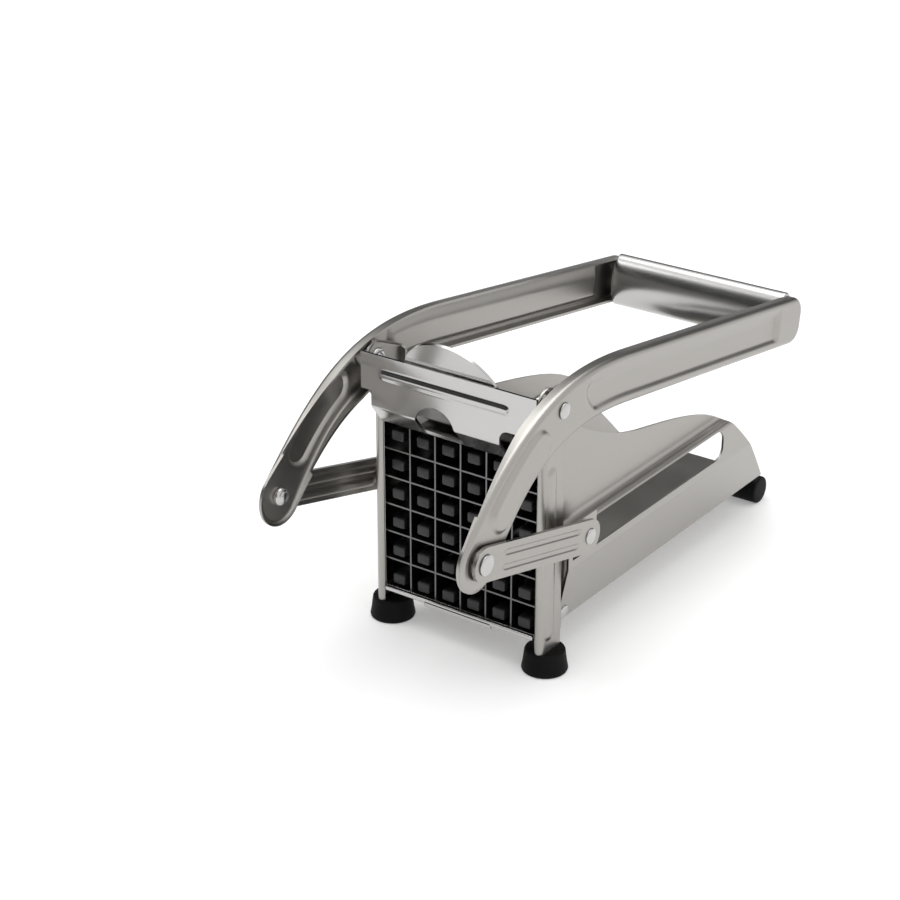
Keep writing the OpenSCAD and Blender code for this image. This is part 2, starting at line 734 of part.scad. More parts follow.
// Outline of the pressed panel along the curved part, drawn in by d
function curved_panel_outline(d) =
    let (
        h = panel_half - d,
        t0 = curved_panel[0],
        t1 = curved_panel[1],
        a0 = atan2(arm_dir(t0)[1], arm_dir(t0)[0]),
        a1 = atan2(arm_dir(t1)[1], arm_dir(t1)[0])
    )
    concat(
        [for (k = [0:8]) let (t = t0 + (t1 - t0) * k / 8) arm_mid(t) + left(arm_dir(t)) * h],
        arc(arm_mid(t1), h, a1 + 75, a1 - 75, 8),
        [for (k = [8:-1:0]) let (t = t0 + (t1 - t0) * k / 8) arm_mid(t) - left(arm_dir(t)) * h],
        arc(arm_mid(t0), h, a0 - 105, a0 - 255, 8)
    );

// The recess's edge along the bend, at v beside the arm's middle line
function recess_edge(v) = [
    for (k = [1:4]) let (t = recess_from + (1 - recess_from) * k / 4) arm_mid(t) + left(arm_dir(t)) * v
];

// Outline of the long recess, grown by d: a blunt nose on the bend, and a square end on the straight part
function recess_outline(d) =
    let (
        h = recess_h / 2 + d,
        up = arm_half - recess_top - recess_h / 2,
        r = 3,
        nose = atan2(arm_dir(recess_from)[1], arm_dir(recess_from)[0]),
        nose_half = asin(1 / recess_nose),
        hub = arm_mid(recess_from) + up * left(arm_dir(recess_from))
            + recess_nose * h * cos(nose_half) * arm_dir(recess_from),
        b = straight + (recess_to + d - r) * arm_way + up * left(arm_way)
    )
    concat(
        arc(hub, recess_nose * h, nose + 180 + nose_half, nose + 180 - nose_half, 8),
        recess_edge(up + h),
        arc(b + (h - r) * left(arm_way), r, 90 - arm_fall, -arm_fall, 4),
        arc(b - (h - r) * left(arm_way), r, -arm_fall, -90 - arm_fall, 4),
        flipped(recess_edge(up - h))
    );

module arm() difference() {
    union() {
        difference() {
            slab(arm_edge, arm_out) polygon(arm_outline(0));
            slab(arm_edge - 1, arm_in) polygon(arm_outline(arm_t));
            // The turned-in edge fades out towards the lower end
            translate([0, crank_y, crank_z]) rotate([curve_rise, 0, 0]) translate([0, 0, -arm_end_r - 4])
                linear_extrude(2 * arm_end_r + 8) polygon([
                    [arm_in, -30], [arm_in, 2], [arm_edge, 52], [arm_edge - 5, 52], [arm_edge - 5, -30]
                ]);
        }
        slab(arm_out - eps, arm_out + press_depth) polygon(curved_panel_outline(0));
        slab(arm_in - press_depth, arm_in + eps) polygon(recess_outline(arm_t));
    }
    slab(arm_in - 1, arm_in + press_depth) polygon(curved_panel_outline(arm_t));
    slab(arm_out - press_depth, arm_out + 1) polygon(recess_outline(0));
    bar(arm_in - 3, arm_out + 3, pin_r + run_gap, pivot);
    bar(arm_in - 3, arm_out + 3, pin_r + run_gap, crank);
}
module arm_right() color(satin) setting() arm();
module arm_left() color(satin) setting() mirror([1, 0, 0]) arm();

// Oval in Y and Z, standing square to the arms
function oval(a, b) = [for (k = [0:7.5:359]) grip + a * cos(k) * arm_way + b * sin(k) * left(arm_way)];
module grip_tube() color(satin) setting() difference() {
    union() {
        slab(-arm_edge, arm_edge) polygon(oval(grip_a, grip_b));
        slab(-arm_in + press_depth, arm_in - press_depth) polygon(oval(grip_a - 0.5, arm_half - arm_t - 0.3));
    }
    slab(-far, far) polygon(oval(grip_a - 0.5 - grip_wall, arm_half - arm_t - 0.3 - grip_wall));
}

// ---- Links ----

module crank_rivet() {
    bar(arm_in - inner_head_h, arm_in, inner_head_r, crank);
    bar(arm_in - eps, link_x + side_play + eps, pin_r, crank);
    dome(link_x + side_play, crank_head_r, crank);
}
module crank_rivet_right() color(zinc) setting() crank_rivet();
module crank_rivet_left() color(zinc) setting() mirror([1, 0, 0]) crank_rivet();

module crank_washer() difference() {
    bar(arm_out, arm_out + washer_t, pin_r + 3, crank);
    bar(arm_out - 1, link_in, pin_r + run_gap, crank);
}
module crank_washer_right() color(zinc) setting() crank_washer();
module crank_washer_left() color(zinc) setting() mirror([1, 0, 0]) crank_washer();

// Outline with round ends along the link, from u0 to u1, half as wide as r, at v beside its middle
module link_bar(u0, u1, r, v) {
    tilt = atan2(link_way[1], link_way[0]);
    polygon(concat(
        arc(crank + u0 * link_way + v * left(link_way), r, tilt + 90, tilt + 270, 12),
        arc(crank + u1 * link_way + v * left(link_way), r, tilt - 90, tilt + 90, 12)
    ));
}
module link() difference() {
    slab(link_in, link_x) link_bar(0, link_len, link_w / 2, 0);
    for (v = [-1, 1] * groove_gap)
        slab(link_x - groove_d, link_x + 1) link_bar(groove_from, groove_to, groove_w / 2, v);
    for (at = [crank, ear]) bar(link_in - 1, link_x + 1, pin_r + run_gap, at);
}
module link_right() color(satin) setting() link();
module link_left() color(satin) setting() mirror([1, 0, 0]) link();

module link_rivet() {
    bar(ear_x + slide_gap, link_x + eps, pin_r, ear);
    dome(link_x, head_r, ear);
}
module link_rivet_right() color(zinc) setting() link_rivet();
module link_rivet_left() color(zinc) setting() mirror([1, 0, 0]) link_rivet();

module link_spacer() difference() {
    bar(ear_x + slide_gap, link_in, pin_r + 2, ear);
    bar(ear_x, link_in + 1, pin_r + run_gap, ear);
}
module link_spacer_right() color(zinc) setting() link_spacer();
module link_spacer_left() color(zinc) setting() mirror([1, 0, 0]) link_spacer();

// ---- Pusher ----

module pusher_block() color(plastic) setting() difference() {
    wall(stub_len, block_rear) polygon([
        [-block_half, block_half], [block_half, block_half], [block_half, -block_half + 2],
        [block_half - 2, -block_half], [-block_half + 2, -block_half], [-block_half, -block_half + 2]
    ]);
    screw_places() cylinder(r = screw_r + run_gap, h = screw_in + 0.5);
    hood_screw_places() cylinder(r = screw_r + run_gap, h = screw_in + 0.5);
}
// One tapered stub for each cell, on the block's front face
module pusher_stubs() color(plastic) setting()
    for (i = [0:cells - 1], j = [0:cells - 1])
        translate([(i - (cells - 1) / 2) * cell, stub_len, (j - (cells - 1) / 2) * stub_pitch - stub_drop])
            rotate([90, 0, 0]) linear_extrude(stub_len, slices = 1, scale = stub_taper)
                square([stub_root, stub_root_h], center = true);
// Screws point forward from the block's rear face
module screw_places()
    for (x = [-1, 1] * screw_x, z = [-1, 1] * screw_z)
        translate([x, block_rear, z]) rotate([90, 0, 0]) children();
module hood_screw_places()
    for (x = [-1, 1] * hood_screw_x) translate([x, block_rear, hood_screw_z]) rotate([90, 0, 0]) children();

module pusher_carriage() color(satin) setting() difference() {
    union() {
        wall(block_rear, plate_rear) {
            box([-half + 1.5, -half + 1.5], [half - 1.5, half - 1.5]);
            box([-ear_x, wing_low], [ear_x, wing_high]);
        }
        both() slab(ear_x - carriage_t, ear_x) polygon(concat(
            [[plate_rear, wing_low], [plate_rear, ear_top]],
            arc([ear_front + ear_corner, ear_top - ear_corner], ear_corner, 90, 180, 4),
            arc([ear_front + ear_corner, wing_low + ear_corner], ear_corner, 180, 270, 4)
        ));
    }
    bar(-far, far, pin_r + run_gap, ear);
    screw_places() translate([0, 0, -5]) cylinder(r = screw_r + run_gap, h = 10);
    hood_screw_places() translate([0, 0, -5]) cylinder(r = screw_r + run_gap, h = 10);
}

hood_line = soft([
    [plate_rear, hood_tab_low], [plate_rear, shelf_z], [hood_foot, shelf_z],
    [hood_foot, shelf_z] + far / 2 * [-sin(hood_lean), cos(hood_lean)]
], bend_r);
module pusher_hood() color(polished) setting() difference() {
    intersection() {
        slab(-hood_half, hood_half) polygon(sheet(hood_line, carriage_t));
        translate([0, hood_foot, shelf_z]) rotate([hood_lean, 0, 0]) wall(-far, far) {
            translate([0, dome_at]) circle(r = hood_half, $fn = 96);
            box([-hood_half, -far / 4], [hood_half, dome_at]);
        }
    }
    hood_screw_places() translate([0, 0, -5]) cylinder(r = screw_r + run_gap, h = 10);
}

// Screw whose head stands on a face d behind the block
module screw(d) {
    translate([0, 0, -d - screw_head_h]) cylinder(r = screw_head_r, h = screw_head_h);
    translate([0, 0, -d - eps]) cylinder(r = screw_r, h = d + screw_in);
}
module pusher_screws() color(zinc) setting() screw_places() screw(carriage_t);
module hood_screws() color(zinc) setting() hood_screw_places() screw(2 * carriage_t);

body_shell();
post_right();
post_left();
skirt_rivets();
cassette_frame();
blades_upright();
blades_level();
front_foot_right();
front_foot_left();
front_foot_screws();
rear_bracket();
rear_bracket_rivets();
rear_rod();
rear_sleeve_right();
rear_sleeve_left();
pivot_rivet_right();
pivot_rivet_left();
pivot_bush_right();
pivot_bush_left();
arm_right();
arm_left();
grip_tube();
crank_rivet_right();
crank_rivet_left();
crank_washer_right();
crank_washer_left();
link_right();
link_left();
link_rivet_right();
link_rivet_left();
link_spacer_right();
link_spacer_left();
pusher_block();
pusher_stubs();
pusher_carriage();
pusher_hood();
pusher_screws();
hood_screws();
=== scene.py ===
"""French fry cutter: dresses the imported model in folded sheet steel, rubber and moulded plastic.

Shapes are worked out in millimetres, from the middle of the blade grid's front: X to the right,
Y from the blades to the grip, Z up. place() turns them into the frame's metres.
"""

import math
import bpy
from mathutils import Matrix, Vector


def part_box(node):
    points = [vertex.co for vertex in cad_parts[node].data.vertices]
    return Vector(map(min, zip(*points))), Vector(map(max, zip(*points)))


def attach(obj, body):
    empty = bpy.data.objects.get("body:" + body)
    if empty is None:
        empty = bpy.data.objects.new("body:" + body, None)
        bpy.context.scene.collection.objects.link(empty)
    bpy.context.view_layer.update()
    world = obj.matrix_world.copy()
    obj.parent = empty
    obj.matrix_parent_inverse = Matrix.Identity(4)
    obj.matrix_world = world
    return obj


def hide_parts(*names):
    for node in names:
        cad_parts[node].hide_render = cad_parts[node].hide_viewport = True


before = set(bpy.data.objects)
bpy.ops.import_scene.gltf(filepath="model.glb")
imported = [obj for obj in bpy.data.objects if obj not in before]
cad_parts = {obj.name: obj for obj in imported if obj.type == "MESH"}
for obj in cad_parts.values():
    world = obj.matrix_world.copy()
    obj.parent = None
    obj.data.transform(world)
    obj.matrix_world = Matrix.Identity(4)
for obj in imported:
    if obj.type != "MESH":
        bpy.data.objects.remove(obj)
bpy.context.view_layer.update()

from types import SimpleNamespace

import bmesh
import bpy
import numpy as np
from mathutils import Vector

bl_info = {
    "name": "French Fry Cutter",
    "version": (1, 0, 0),
    "blender": (4, 5, 0),
    "location": "View3D > Sidebar > Fry Cutter",
    "description": "Builds the sheet steel, rubber and plastic pieces of a lever press for fries",
    "category": "Object",
}

MM = 0.001
_low, _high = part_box("blades_upright")
GRID_CENTRE = np.array([0.0, _low.y, (_low.z + _high.z) / 2])


def corners(node):
    """Lowest and highest corner of a CAD node, in millimetres from the blade grid's front."""
    low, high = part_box(node)
    return (np.array(low) - GRID_CENTRE) / MM, (np.array(high) - GRID_CENTRE) / MM


TABLE_Z = -GRID_CENTRE[2] / MM


# ---- Sizes and colours ----


def size(name, value, about):
    """A length in millimetres, kept in Blender's metres."""
    return bpy.props.FloatProperty(
        name=name, description=about, default=value * MM, unit="LENGTH", precision=5
    )


def angle(name, value, about):
    """An angle in degrees, kept in radians."""
    return bpy.props.FloatProperty(name=name, description=about, default=math.radians(value), subtype="ANGLE")


def colour(name, value, about):
    """A linear colour."""
    return bpy.props.FloatVectorProperty(
        name=name, description=about, default=value, subtype="COLOR", size=3, min=0, max=1
    )


def read(group):
    """A property group's values: lengths in millimetres, all else as it is."""
    sized = {p.identifier for p in group.bl_rna.properties if getattr(p, "unit", "") == "LENGTH"}
    values = {name: getattr(group, name) for name in group.__annotations__}
    return SimpleNamespace(**{n: v / MM if n in sized else v for n, v in values.items()})


class BodySizes(bpy.types.PropertyGroup):
    """Folded trough and its mouth."""

    sheet: size("Sheet", 1.0, "Thickness of the body's sheet")
    wall_x: size("Wall", 39.3, "Half width across the side walls' outer faces")
    wall_z: size("Wall height", 54.1, "Height of the side walls' front ends")
    band_x: size("Band", 44.5, "Half width across the slotted bands")
    band_top: size("Band top", 6.3, "Height of the bands' top faces")
    band_low: size("Band bottom", -12.0, "Height of the bands' lower bends")
    floor_x: size("Floor", 38.7, "Half width of the floor")
    floor_z: size("Floor height", -39.2, "Height of the floor's lower face")
    bend: size("Bend", 2.4, "Radius of the bends")
    front: size("Front", 13.0, "Distance from the blades to the trough's front edge")
    heel: size("Heel", 188.0, "Distance from the blades to the floor's rear edge")
    waist_y: size("Waist", 75.0, "Distance from the blades to the waist of the top edge")
    waist_z: size("Waist height", 26.7, "Height of that waist")
    shoulder_y: size("Shoulder", 147.5, "Distance from the blades to the top of the rear edge")
    shoulder_z: size("Shoulder height", 3.3, "Height of the top of the rear edge")
    slot_front: size("Slot front", 16.0, "Distance from the blades to the slots' front ends")
    slot_end: size("Slot end", 138.0, "Distance from the blades to the slots' rear ends")
    slot_top: size("Slot top", 4.6, "Height of the slots' upper edges")
    slot_low: size("Slot bottom", -8.8, "Height of the slots' lower edges")
    slot_r: size("Slot corner", 5.0, "Radius of the slots' rear corners")
    mouth_x: size("Mouth", 40.9, "Half width of the mouth that holds the cassette")
    mouth_top: size("Mouth top", 52.1, "Height of the mouth's upper ends")
    mouth_low: size("Mouth bottom", -40.5, "Height of the mouth's lower face")
    mouth_front: size("Mouth front", 1.1, "Distance from the blades to the mouth's front edge")


class CassetteSizes(bpy.types.PropertyGroup):
    """Blade cassette with its pull plate."""

    sheet: size("Sheet", 1.2, "Thickness of the cassette's sheet")
    half: size("Opening", 38.1, "Half width of the square opening")
    lip_y: size("Lip", -2.4, "Place of the front lip")
    rear_y: size("Rear", 11.6, "Place of the cassette's rear edge")
    tab_half: size("Tab", 17.0, "Half width of the tab under the lip")
    tab_drop: size("Tab height", 1.4, "Height of the tab under the lip")
    lip: size("Lip height", 2.0, "Height of the hem under the opening")
    side_y: size("Sides", -0.6, "Place of the sides' front edges")
    flag_y: size("Plate", -9.7, "Place of the pull plate's front face")
    flag_bend: size("Plate bend", 47.3, "Height of the pull plate's lower bend")
    flag_shoulder: size("Plate shoulder", 54.5, "Height of the pull plate's shoulders")
    flag_top: size("Plate top", 70.4, "Height of the pull plate's top edge")
    flag_half: size("Plate width", 42.5, "Half width of the pull plate")
    flag_low_half: size("Plate root", 37.4, "Half width of the pull plate under its shoulders")
    notch_r: size("Notch", 10.0, "Radius of the finger notch")
    notch_x: size("Notch place", -6.0, "Sideways place of the finger notch")
    cut_x: size("Corner cut", 25.4, "Sideways place of the right corner's cut")
    cut_r: size("Corner cut radius", 4.0, "Radius inside the corner's cut")
    bead_w: size("Bead width", 5.0, "Width of the bead along the plate")
    bead_h: size("Bead height", 1.0, "Height of the bead along the plate")
    bead_left: size("Bead left", -33.8, "Left end of the bead")
    bead_right: size("Bead right", 30.5, "Right end of the bead")
    bead_z: size("Bead place", 62.5, "Height of the bead's middle line")


class PostSizes(bpy.types.PropertyGroup):
    """Posts on either side of the mouth."""

    sheet: size("Sheet", 1.2, "Thickness of the posts' sheet")
    x: size("Face", 42.1, "Half width across the posts' outer faces")
    front: size("Front", -2.4, "Place of the front flange's face")
    rear: size("Rear", 12.0, "Place of a post's rear edge")
    high_front: size("Upper front", -8.2, "Place of the front edge near the pivot")
    high_rear: size("Upper rear", 16.0, "Place of the rear edge near the pivot")
    low: size("Foot", -48.6, "Height of the posts' lower ends, inside the rubber feet")
    neck: size("Neck", 42.1, "Height at which a post begins to widen")
    shoulder: size("Shoulder", 65.4, "Height of the rear edge's top")
    head_r: size("Head", 7.4, "Radius of the round top about the pivot")
    fold_r: size("Fold", 2.25, "Radius of the rolled front edge")
    rear_flange: size("Rear flange", 3.6, "Width of the short flange at the upper rear edge")
    bead_w: size("Bead width", 6.8, "Width of the bead down a post")
    bead_h: size("Bead height", 1.2, "Height of the bead down a post")
    bead_y: size("Bead place", 2.8, "Place of the bead's middle line")
    bead_top: size("Bead top", 37.1, "Height of the bead's top end")
    bead_low: size("Bead bottom", -40.2, "Height of the bead's lower end")


class HandleSizes(bpy.types.PropertyGroup):
    """Arms and grip."""

    sheet: size("Sheet", 1.2, "Thickness of the arms' sheet")
    out: size("Face", 49.4, "Half width across the arms' outer faces")
    pivot_y: size("Pivot", -0.8, "Place of the handle's pivot")
    pivot_z: size("Pivot height", 64.8, "Height of the handle's pivot")
    crank_y: size("Lower pin", -56.0, "Place of the lower link pins")
    crank_z: size("Lower pin height", 22.4, "Height of the lower link pins")
    rise: angle("Rise", 48.4, "Angle at which an arm's middle line leaves the lower pin")
    first: size("First pull", 42.2, "How far the arm holds that first direction")
    last: size("Last pull", 55.1, "How far before its straight part the arm takes that part's direction")
    straight_y: size("Straight", 48.8, "Place of the straight part's start")
    straight_z: size("Straight height", 61.6, "Height of the straight part's start")
    fall: angle("Fall", 8.6, "Slope of the straight part")
    straight_len: size("Straight length", 149.4, "Length of the straight part")
    width: size("Width", 21.6, "Width of an arm")
    end_r: size("Lower end", 12.4, "Radius of the round lower end")
    corner_r: size("Rear corner", 8.0, "Radius of the corners at the rear end")
    fold_r: size("Fold", 2.4, "Radius of the folded edge")
    flange: size("Flange", 5.5, "Depth of the turned-in edge")
    press: size("Press", 1.5, "Depth of the pressed panels")
    panel_half: size("Raised panel", 7.1, "Half width of the raised panel near the lower pin")
    recess_top: size("Recess margin", 2.1, "Width of the arm over its long recess")
    recess_h: size("Recess", 15.8, "Height of the long recess")
    recess_back: size("Recess end", 21.8, "Distance from the recess to the arm's rear end")
    grip_inset: size("Grip place", 7.4, "Distance from the grip's middle to the arm's rear end")
    grip_a: size("Grip depth", 6.2, "Half depth of the oval grip")
    grip_b: size("Grip height", 12.2, "Half height of the oval grip")


class LinkSizes(bpy.types.PropertyGroup):
    """Links between the handle and the pusher."""

    sheet: size("Thickness", 1.6, "Thickness of a link")
    width: size("Width", 14.2, "Width of a link")
    groove_gap: size("Groove place", 3.0, "Distance from a link's middle line to its grooves")
    groove_w: size("Groove width", 2.6, "Width of a groove")
    groove_d: size("Groove depth", 0.6, "Depth of a groove")
    groove_from: size("Groove start", 13.5, "Distance from the lower pin to the grooves")
    groove_to: size("Groove end", 9.5, "Distance from the grooves to the rear pin")
    ear_y: size("Rear pin", 16.8, "Place of the rear link pin")
    ear_z: size("Rear pin height", 4.2, "Height of the rear link pin")
    pin_r: size("Pin", 2.5, "Radius of the pins")


class PusherSizes(bpy.types.PropertyGroup):
    """Stubs and hood of the pusher."""

    cell: size("Cell", 12.7, "Distance between the stubs' columns")
    row: size("Row", 13.3, "Distance between the stubs' rows")
    drop: size("Drop", 1.2, "How far the stubs lie under the cells' middles")
    stub_len: size("Stub length", 20.3, "Length of a stub")
    stub_tip: size("Stub tip", 6.0, "Width of a stub at its tip")
    stub_root: size("Stub root", 6.8, "Width of a stub at its root")
    tip_h: size("Stub tip height", 4.6, "Height of a stub at its tip")
    root_h: size("Stub root height", 5.8, "Height of a stub at its root")
    sheet: size("Sheet", 1.2, "Thickness of the hood's sheet")
    hood_half: size("Hood", 24.0, "Half width of the hood")
    hood_foot: size("Hood bend", 3.9, "Place of the bend at the foot of the leaning part")
    hood_lean: angle("Hood lean", 22.0, "Angle that the hood leans forward")
    shelf_z: size("Shelf", 41.1, "Height of the hood's shelf")
    plate_y: size("Plate", 28.5, "Place of the carriage's rear face")
    tab_low: size("Hood tab", 18.1, "Height of the hood's lower edge")
    dome_at: size("Dome", 21.6, "Distance from the bend to the round top's centre")
    bend: size("Bend", 2.0, "Radius of the bends")


class FootSizes(bpy.types.PropertyGroup):
    """Rubber feet and sleeves."""

    x: size("Place", 39.0, "Sideways place of the front feet")
    y: size("Distance", 5.1, "Distance from the blades to the front feet")
    height: size("Height", 9.7, "Height of a front foot")
    low_r: size("Base", 9.7, "Radius of a front foot near the table")
    top_r: size("Top", 8.4, "Radius of a front foot at its top")


class Finishes(bpy.types.PropertyGroup):
    """Colours of the finishes."""

    satin: colour("Satin steel", (0.38, 0.365, 0.345), "Brushed sheet of the body and the arms")
    polished: colour("Polished steel", (0.5, 0.495, 0.49), "Bright sheet of the cassette and the hood")
    # The blades' colour is far darker than the other steel: painted shade for the dark inside of the blade
    # grid.
    blade: colour("Blades", (0.16, 0.16, 0.16), "Ground edges of the blades")
    rivet: colour("Rivets", (0.5, 0.495, 0.49), "Rivets, pins and screws")
    rubber: colour("Rubber", (0.003, 0.003, 0.003), "Feet and sleeves")
    plastic: colour("Plastic", (0.006, 0.006, 0.006), "Stubs and block of the pusher")
    floor: colour("Floor", (0.8, 0.8, 0.8), "Studio floor")


GROUPS = {
    "body": BodySizes,
    "cassette": CassetteSizes,
    "posts": PostSizes,
    "handle": HandleSizes,
    "links": LinkSizes,
    "pusher": PusherSizes,
    "feet": FootSizes,
    "finishes": Finishes,
}


def sizes(context, name):
    """The values of one of the scene's property groups."""
    return read(getattr(context.scene, "cutter_" + name))


# ---- Numbers, lines and skins ----


def smooth(t):
    """0 up to 0, 1 from 1 on, and 3t^2 - 2t^3 between."""
    t = np.clip(t, 0.0, 1.0)
    return t * t * (3 - 2 * t)


def spaced(*stretches):
    """Numbers along stretches (from, to, steps) that follow each other, each stop once."""
    runs = [np.linspace(a, b, n, endpoint=False) for a, b, n in stretches]
    return np.concatenate([*runs, [stretches[-1][1]]])


def unit(v):
    """The vector at length 1."""
    return v / np.linalg.norm(v)


def heading(turn):
    """Unit vector in a plane at an angle in radians."""
    return np.stack([np.cos(turn), np.sin(turn)], -1)


def left_of(v):
    """Vectors in a plane turned a quarter to the left."""
    return np.stack([-v[..., 1], v[..., 0]], -1)


def grid(*parts):
    """Arrays spread over each other's shape and stacked as coordinates."""
    return np.stack(np.broadcast_arrays(*parts), -1)


def softened(line, r, steps=6):
    """A line whose inner corners are arcs of radius r that touch both sides."""
    line = [np.array(p, float) for p in line]
    out = [line[0]]
    for before, at, after in zip(line, line[1:], line[2:]):
        a, b = unit(before - at), unit(after - at)
        half = math.acos(np.clip(a @ b, -1, 1)) / 2
        hub = at + unit(a + b) * r / math.sin(half)
        start, stop = at + a * r / math.tan(half) - hub, at + b * r / math.tan(half) - hub
        turn = math.atan2(start[0] * stop[1] - start[1] * stop[0], start @ stop)
        k = turn * np.linspace(0, 1, steps + 1)[:, None]
        out.extend(hub + start * np.cos(k) + left_of(start) * np.sin(k))
    return np.array(out + [line[-1]])


def stepped(line, step):
    """The line with points added so that none lie further apart than step."""
    out = []
    for a, b in zip(line, line[1:]):
        n = max(1, math.ceil(np.linalg.norm(b - a) / step))
        out.extend(a + (b - a) * np.arange(n)[:, None] / n)
    return np.array(out + [line[-1]])


def lengths(line):
    """Distance along a line at each of its points."""
    return np.concatenate([[0], np.cumsum(np.linalg.norm(np.diff(line, axis=0), axis=1))])


def cubic(a, b, c, d, t):
    """Bezier curve from a to d with handles b and c, at each t."""
    t = t[:, None]
    return (1 - t) ** 3 * a + 3 * (1 - t) ** 2 * t * b + 3 * (1 - t) * t * t * c + t**3 * d


def joined(*skins):
    """Several skins as one."""
    starts = np.cumsum([0] + [len(s.xyz) for s in skins])
    return SimpleNamespace(
        xyz=np.concatenate([s.xyz for s in skins]),
        quads=np.concatenate([s.quads + n for s, n in zip(skins, starts)]),
        grain=np.concatenate([s.grain for s in skins]),
    )


def mirrored(skin):
    """The skin's mirror image on the left, still facing outwards."""
    return SimpleNamespace(xyz=skin.xyz * [-1, 1, 1], quads=skin.quads[:, ::-1], grain=skin.grain)


def skin_of(points, facing=None, keep=None, ring=False, grain=None):
    """Quads over a grid of points (rows, columns, 3). A closed skin turns its faces out, an open one
    towards facing. keep leaves holes, ring closes each row, and grain says where each point lies
    on the flat sheet, in millimetres along and across the brushing."""
    index = np.arange(points.shape[0] * points.shape[1]).reshape(points.shape[:2])
    if ring:
        index = np.concatenate([index, index[:, :1]], 1)
    quads = np.stack([index[:-1, :-1], index[1:, :-1], index[1:, 1:], index[:-1, 1:]], -1)
    quads = quads[keep] if keep is not None else quads.reshape(-1, 4)
    xyz = points.reshape(-1, 3)
    a, b, c, d = (xyz[quads[:, k]] for k in range(4))
    normal = np.cross(c - a, d - b)
    way = (normal * (a + c)).sum() if facing is None else normal.sum(0) @ np.array(facing, float)
    if way < 0:
        quads = quads[:, ::-1]
    flat = np.zeros_like(xyz)
    if grain is not None:
        flat[:, :2] = np.broadcast_to(grain, points.shape[:2] + (2,)).reshape(-1, 2)
    return SimpleNamespace(xyz=xyz, quads=quads, grain=flat)


def turned(profile, at, way, steps=48):
    """Profile of (radius, height) points turned round an axis at a point, its heights along way."""
    way = unit(np.array(way, float))
    side = unit(np.cross(way, [0, 0, 1] if abs(way[2]) < 0.9 else [1, 0, 0]))
    other = np.cross(way, side)
    k = np.arange(steps) * 2 * math.pi / steps
    round_way = np.cos(k)[:, None] * side + np.sin(k)[:, None] * other
    profile = np.array(profile, float)
    points = np.array(at, float) + profile[:, :1, None] * round_way + profile[:, 1:, None] * way
    return skin_of(points, ring=True)


def place(xyz):
    """Millimetres from the blade grid to the frame's metres."""
    return xyz * MM + GRID_CENTRE


def make(name, skin, body, slot, finish, *nodes, sheet=0, bevel=0.0):
    """A piece from a skin: merged, given its wall and softened edges, dressed, and put on its body."""
    mesh = bpy.data.meshes.new(name)
    mesh.vertices.add(len(skin.xyz))
    mesh.vertices.foreach_set("co", place(skin.xyz).astype(np.float32).ravel())
    mesh.loops.add(skin.quads.size)
    mesh.loops.foreach_set("vertex_index", skin.quads.astype(np.int32).ravel())
    mesh.polygons.add(len(skin.quads))
    mesh.polygons.foreach_set("loop_start", np.arange(0, skin.quads.size, 4, dtype=np.int32))
    grain = mesh.attributes.new("grain", "FLOAT_VECTOR", "POINT")
    grain.data.foreach_set("vector", (skin.grain * MM).astype(np.float32).ravel())
    mesh.update(calc_edges=True)
    mesh.shade_smooth()
    work = bmesh.new()
    work.from_mesh(mesh)
    bmesh.ops.remove_doubles(work, verts=work.verts, dist=2e-6)
    bmesh.ops.delete(work, geom=[v for v in work.verts if not v.link_faces], context="VERTS")
    work.to_mesh(mesh)
    work.free()
    obj = bpy.data.objects.new(name, mesh)
    bpy.context.scene.collection.objects.link(obj)
    if sheet:
        wall = obj.modifiers.new("wall", "SOLIDIFY")
        wall.thickness = sheet * MM
        wall.offset = -1
    if bevel:
        soften(obj, bevel)
    dress(obj, finish)
    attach(obj, body)
    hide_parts(*nodes)
    return obj


def soften(obj, width, steps=2):
    """Rounds an object's sharp edges."""
    edge = obj.modifiers.new("edge", "BEVEL")
    edge.width = width * MM
    edge.segments = steps
    edge.limit_method = "ANGLE"
    edge.angle_limit = math.radians(40)
    edge.harden_normals = True


def soften_node(name, width):
    """Joins a CAD node's loose triangles and rounds its edges, by modifiers alone."""
    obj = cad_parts[name]
    weld = obj.modifiers.new("weld", "WELD")
    weld.merge_threshold = 1e-6
    soften(obj, width)


# ---- Finishes ----


def new_group(name, inputs):
    """An empty shader node group that puts out a colour, a roughness and a height, and its input and
    output nodes."""
    group = bpy.data.node_groups.new(name, "ShaderNodeTree")
    for label, kind, value in inputs:
        socket = group.interface.new_socket(label, in_out="INPUT", socket_type=kind)
        if value is not None:
            socket.default_value = value
    for label, kind in (("Color", "Color"), ("Roughness", "Float"), ("Height", "Float")):
        group.interface.new_socket(label, in_out="OUTPUT", socket_type="NodeSocket" + kind)
    return group, group.nodes.new("NodeGroupInput"), group.nodes.new("NodeGroupOutput")


def node(tree, kind, **values):
    """A node with its inputs set: a socket is linked, anything else is its value. An input goes by
    its name, or by its place as i0, i1 and so on."""
    made = tree.nodes.new(kind)
    for key, value in values.items():
        if hasattr(made, key):
            setattr(made, key, value)
            continue
        by_place = key[0] == "i" and key[1:].isdigit()
        socket = made.inputs[int(key[1:]) if by_place else key.replace("_", " ")]
        if isinstance(value, bpy.types.NodeSocket):
            tree.links.new(value, socket)
        else:
            socket.default_value = value
    return made


def maths(tree, operation, a, b=0.0, c=0.0):
    """A Math node's output."""
    return node(tree, "ShaderNodeMath", operation=operation, i0=a, i1=b, i2=c).outputs[0]


def mixed(tree, share, a, b):
    """Colour between a and b."""
    made = tree.nodes.new("ShaderNodeMix")
    made.data_type = "RGBA"
    for socket, value in ((made.inputs[0], share), (made.inputs[6], a), (made.inputs[7], b)):
        if isinstance(value, bpy.types.NodeSocket):
            tree.links.new(value, socket)
        else:
            socket.default_value = value
    return made.outputs[2]


def noise(tree, where, scale, detail, roughness):
    """A Noise Texture node's value."""
    made = node(tree, "ShaderNodeTexNoise", Vector=where, Scale=scale, Detail=detail, Roughness=roughness)
    return made.outputs[0]


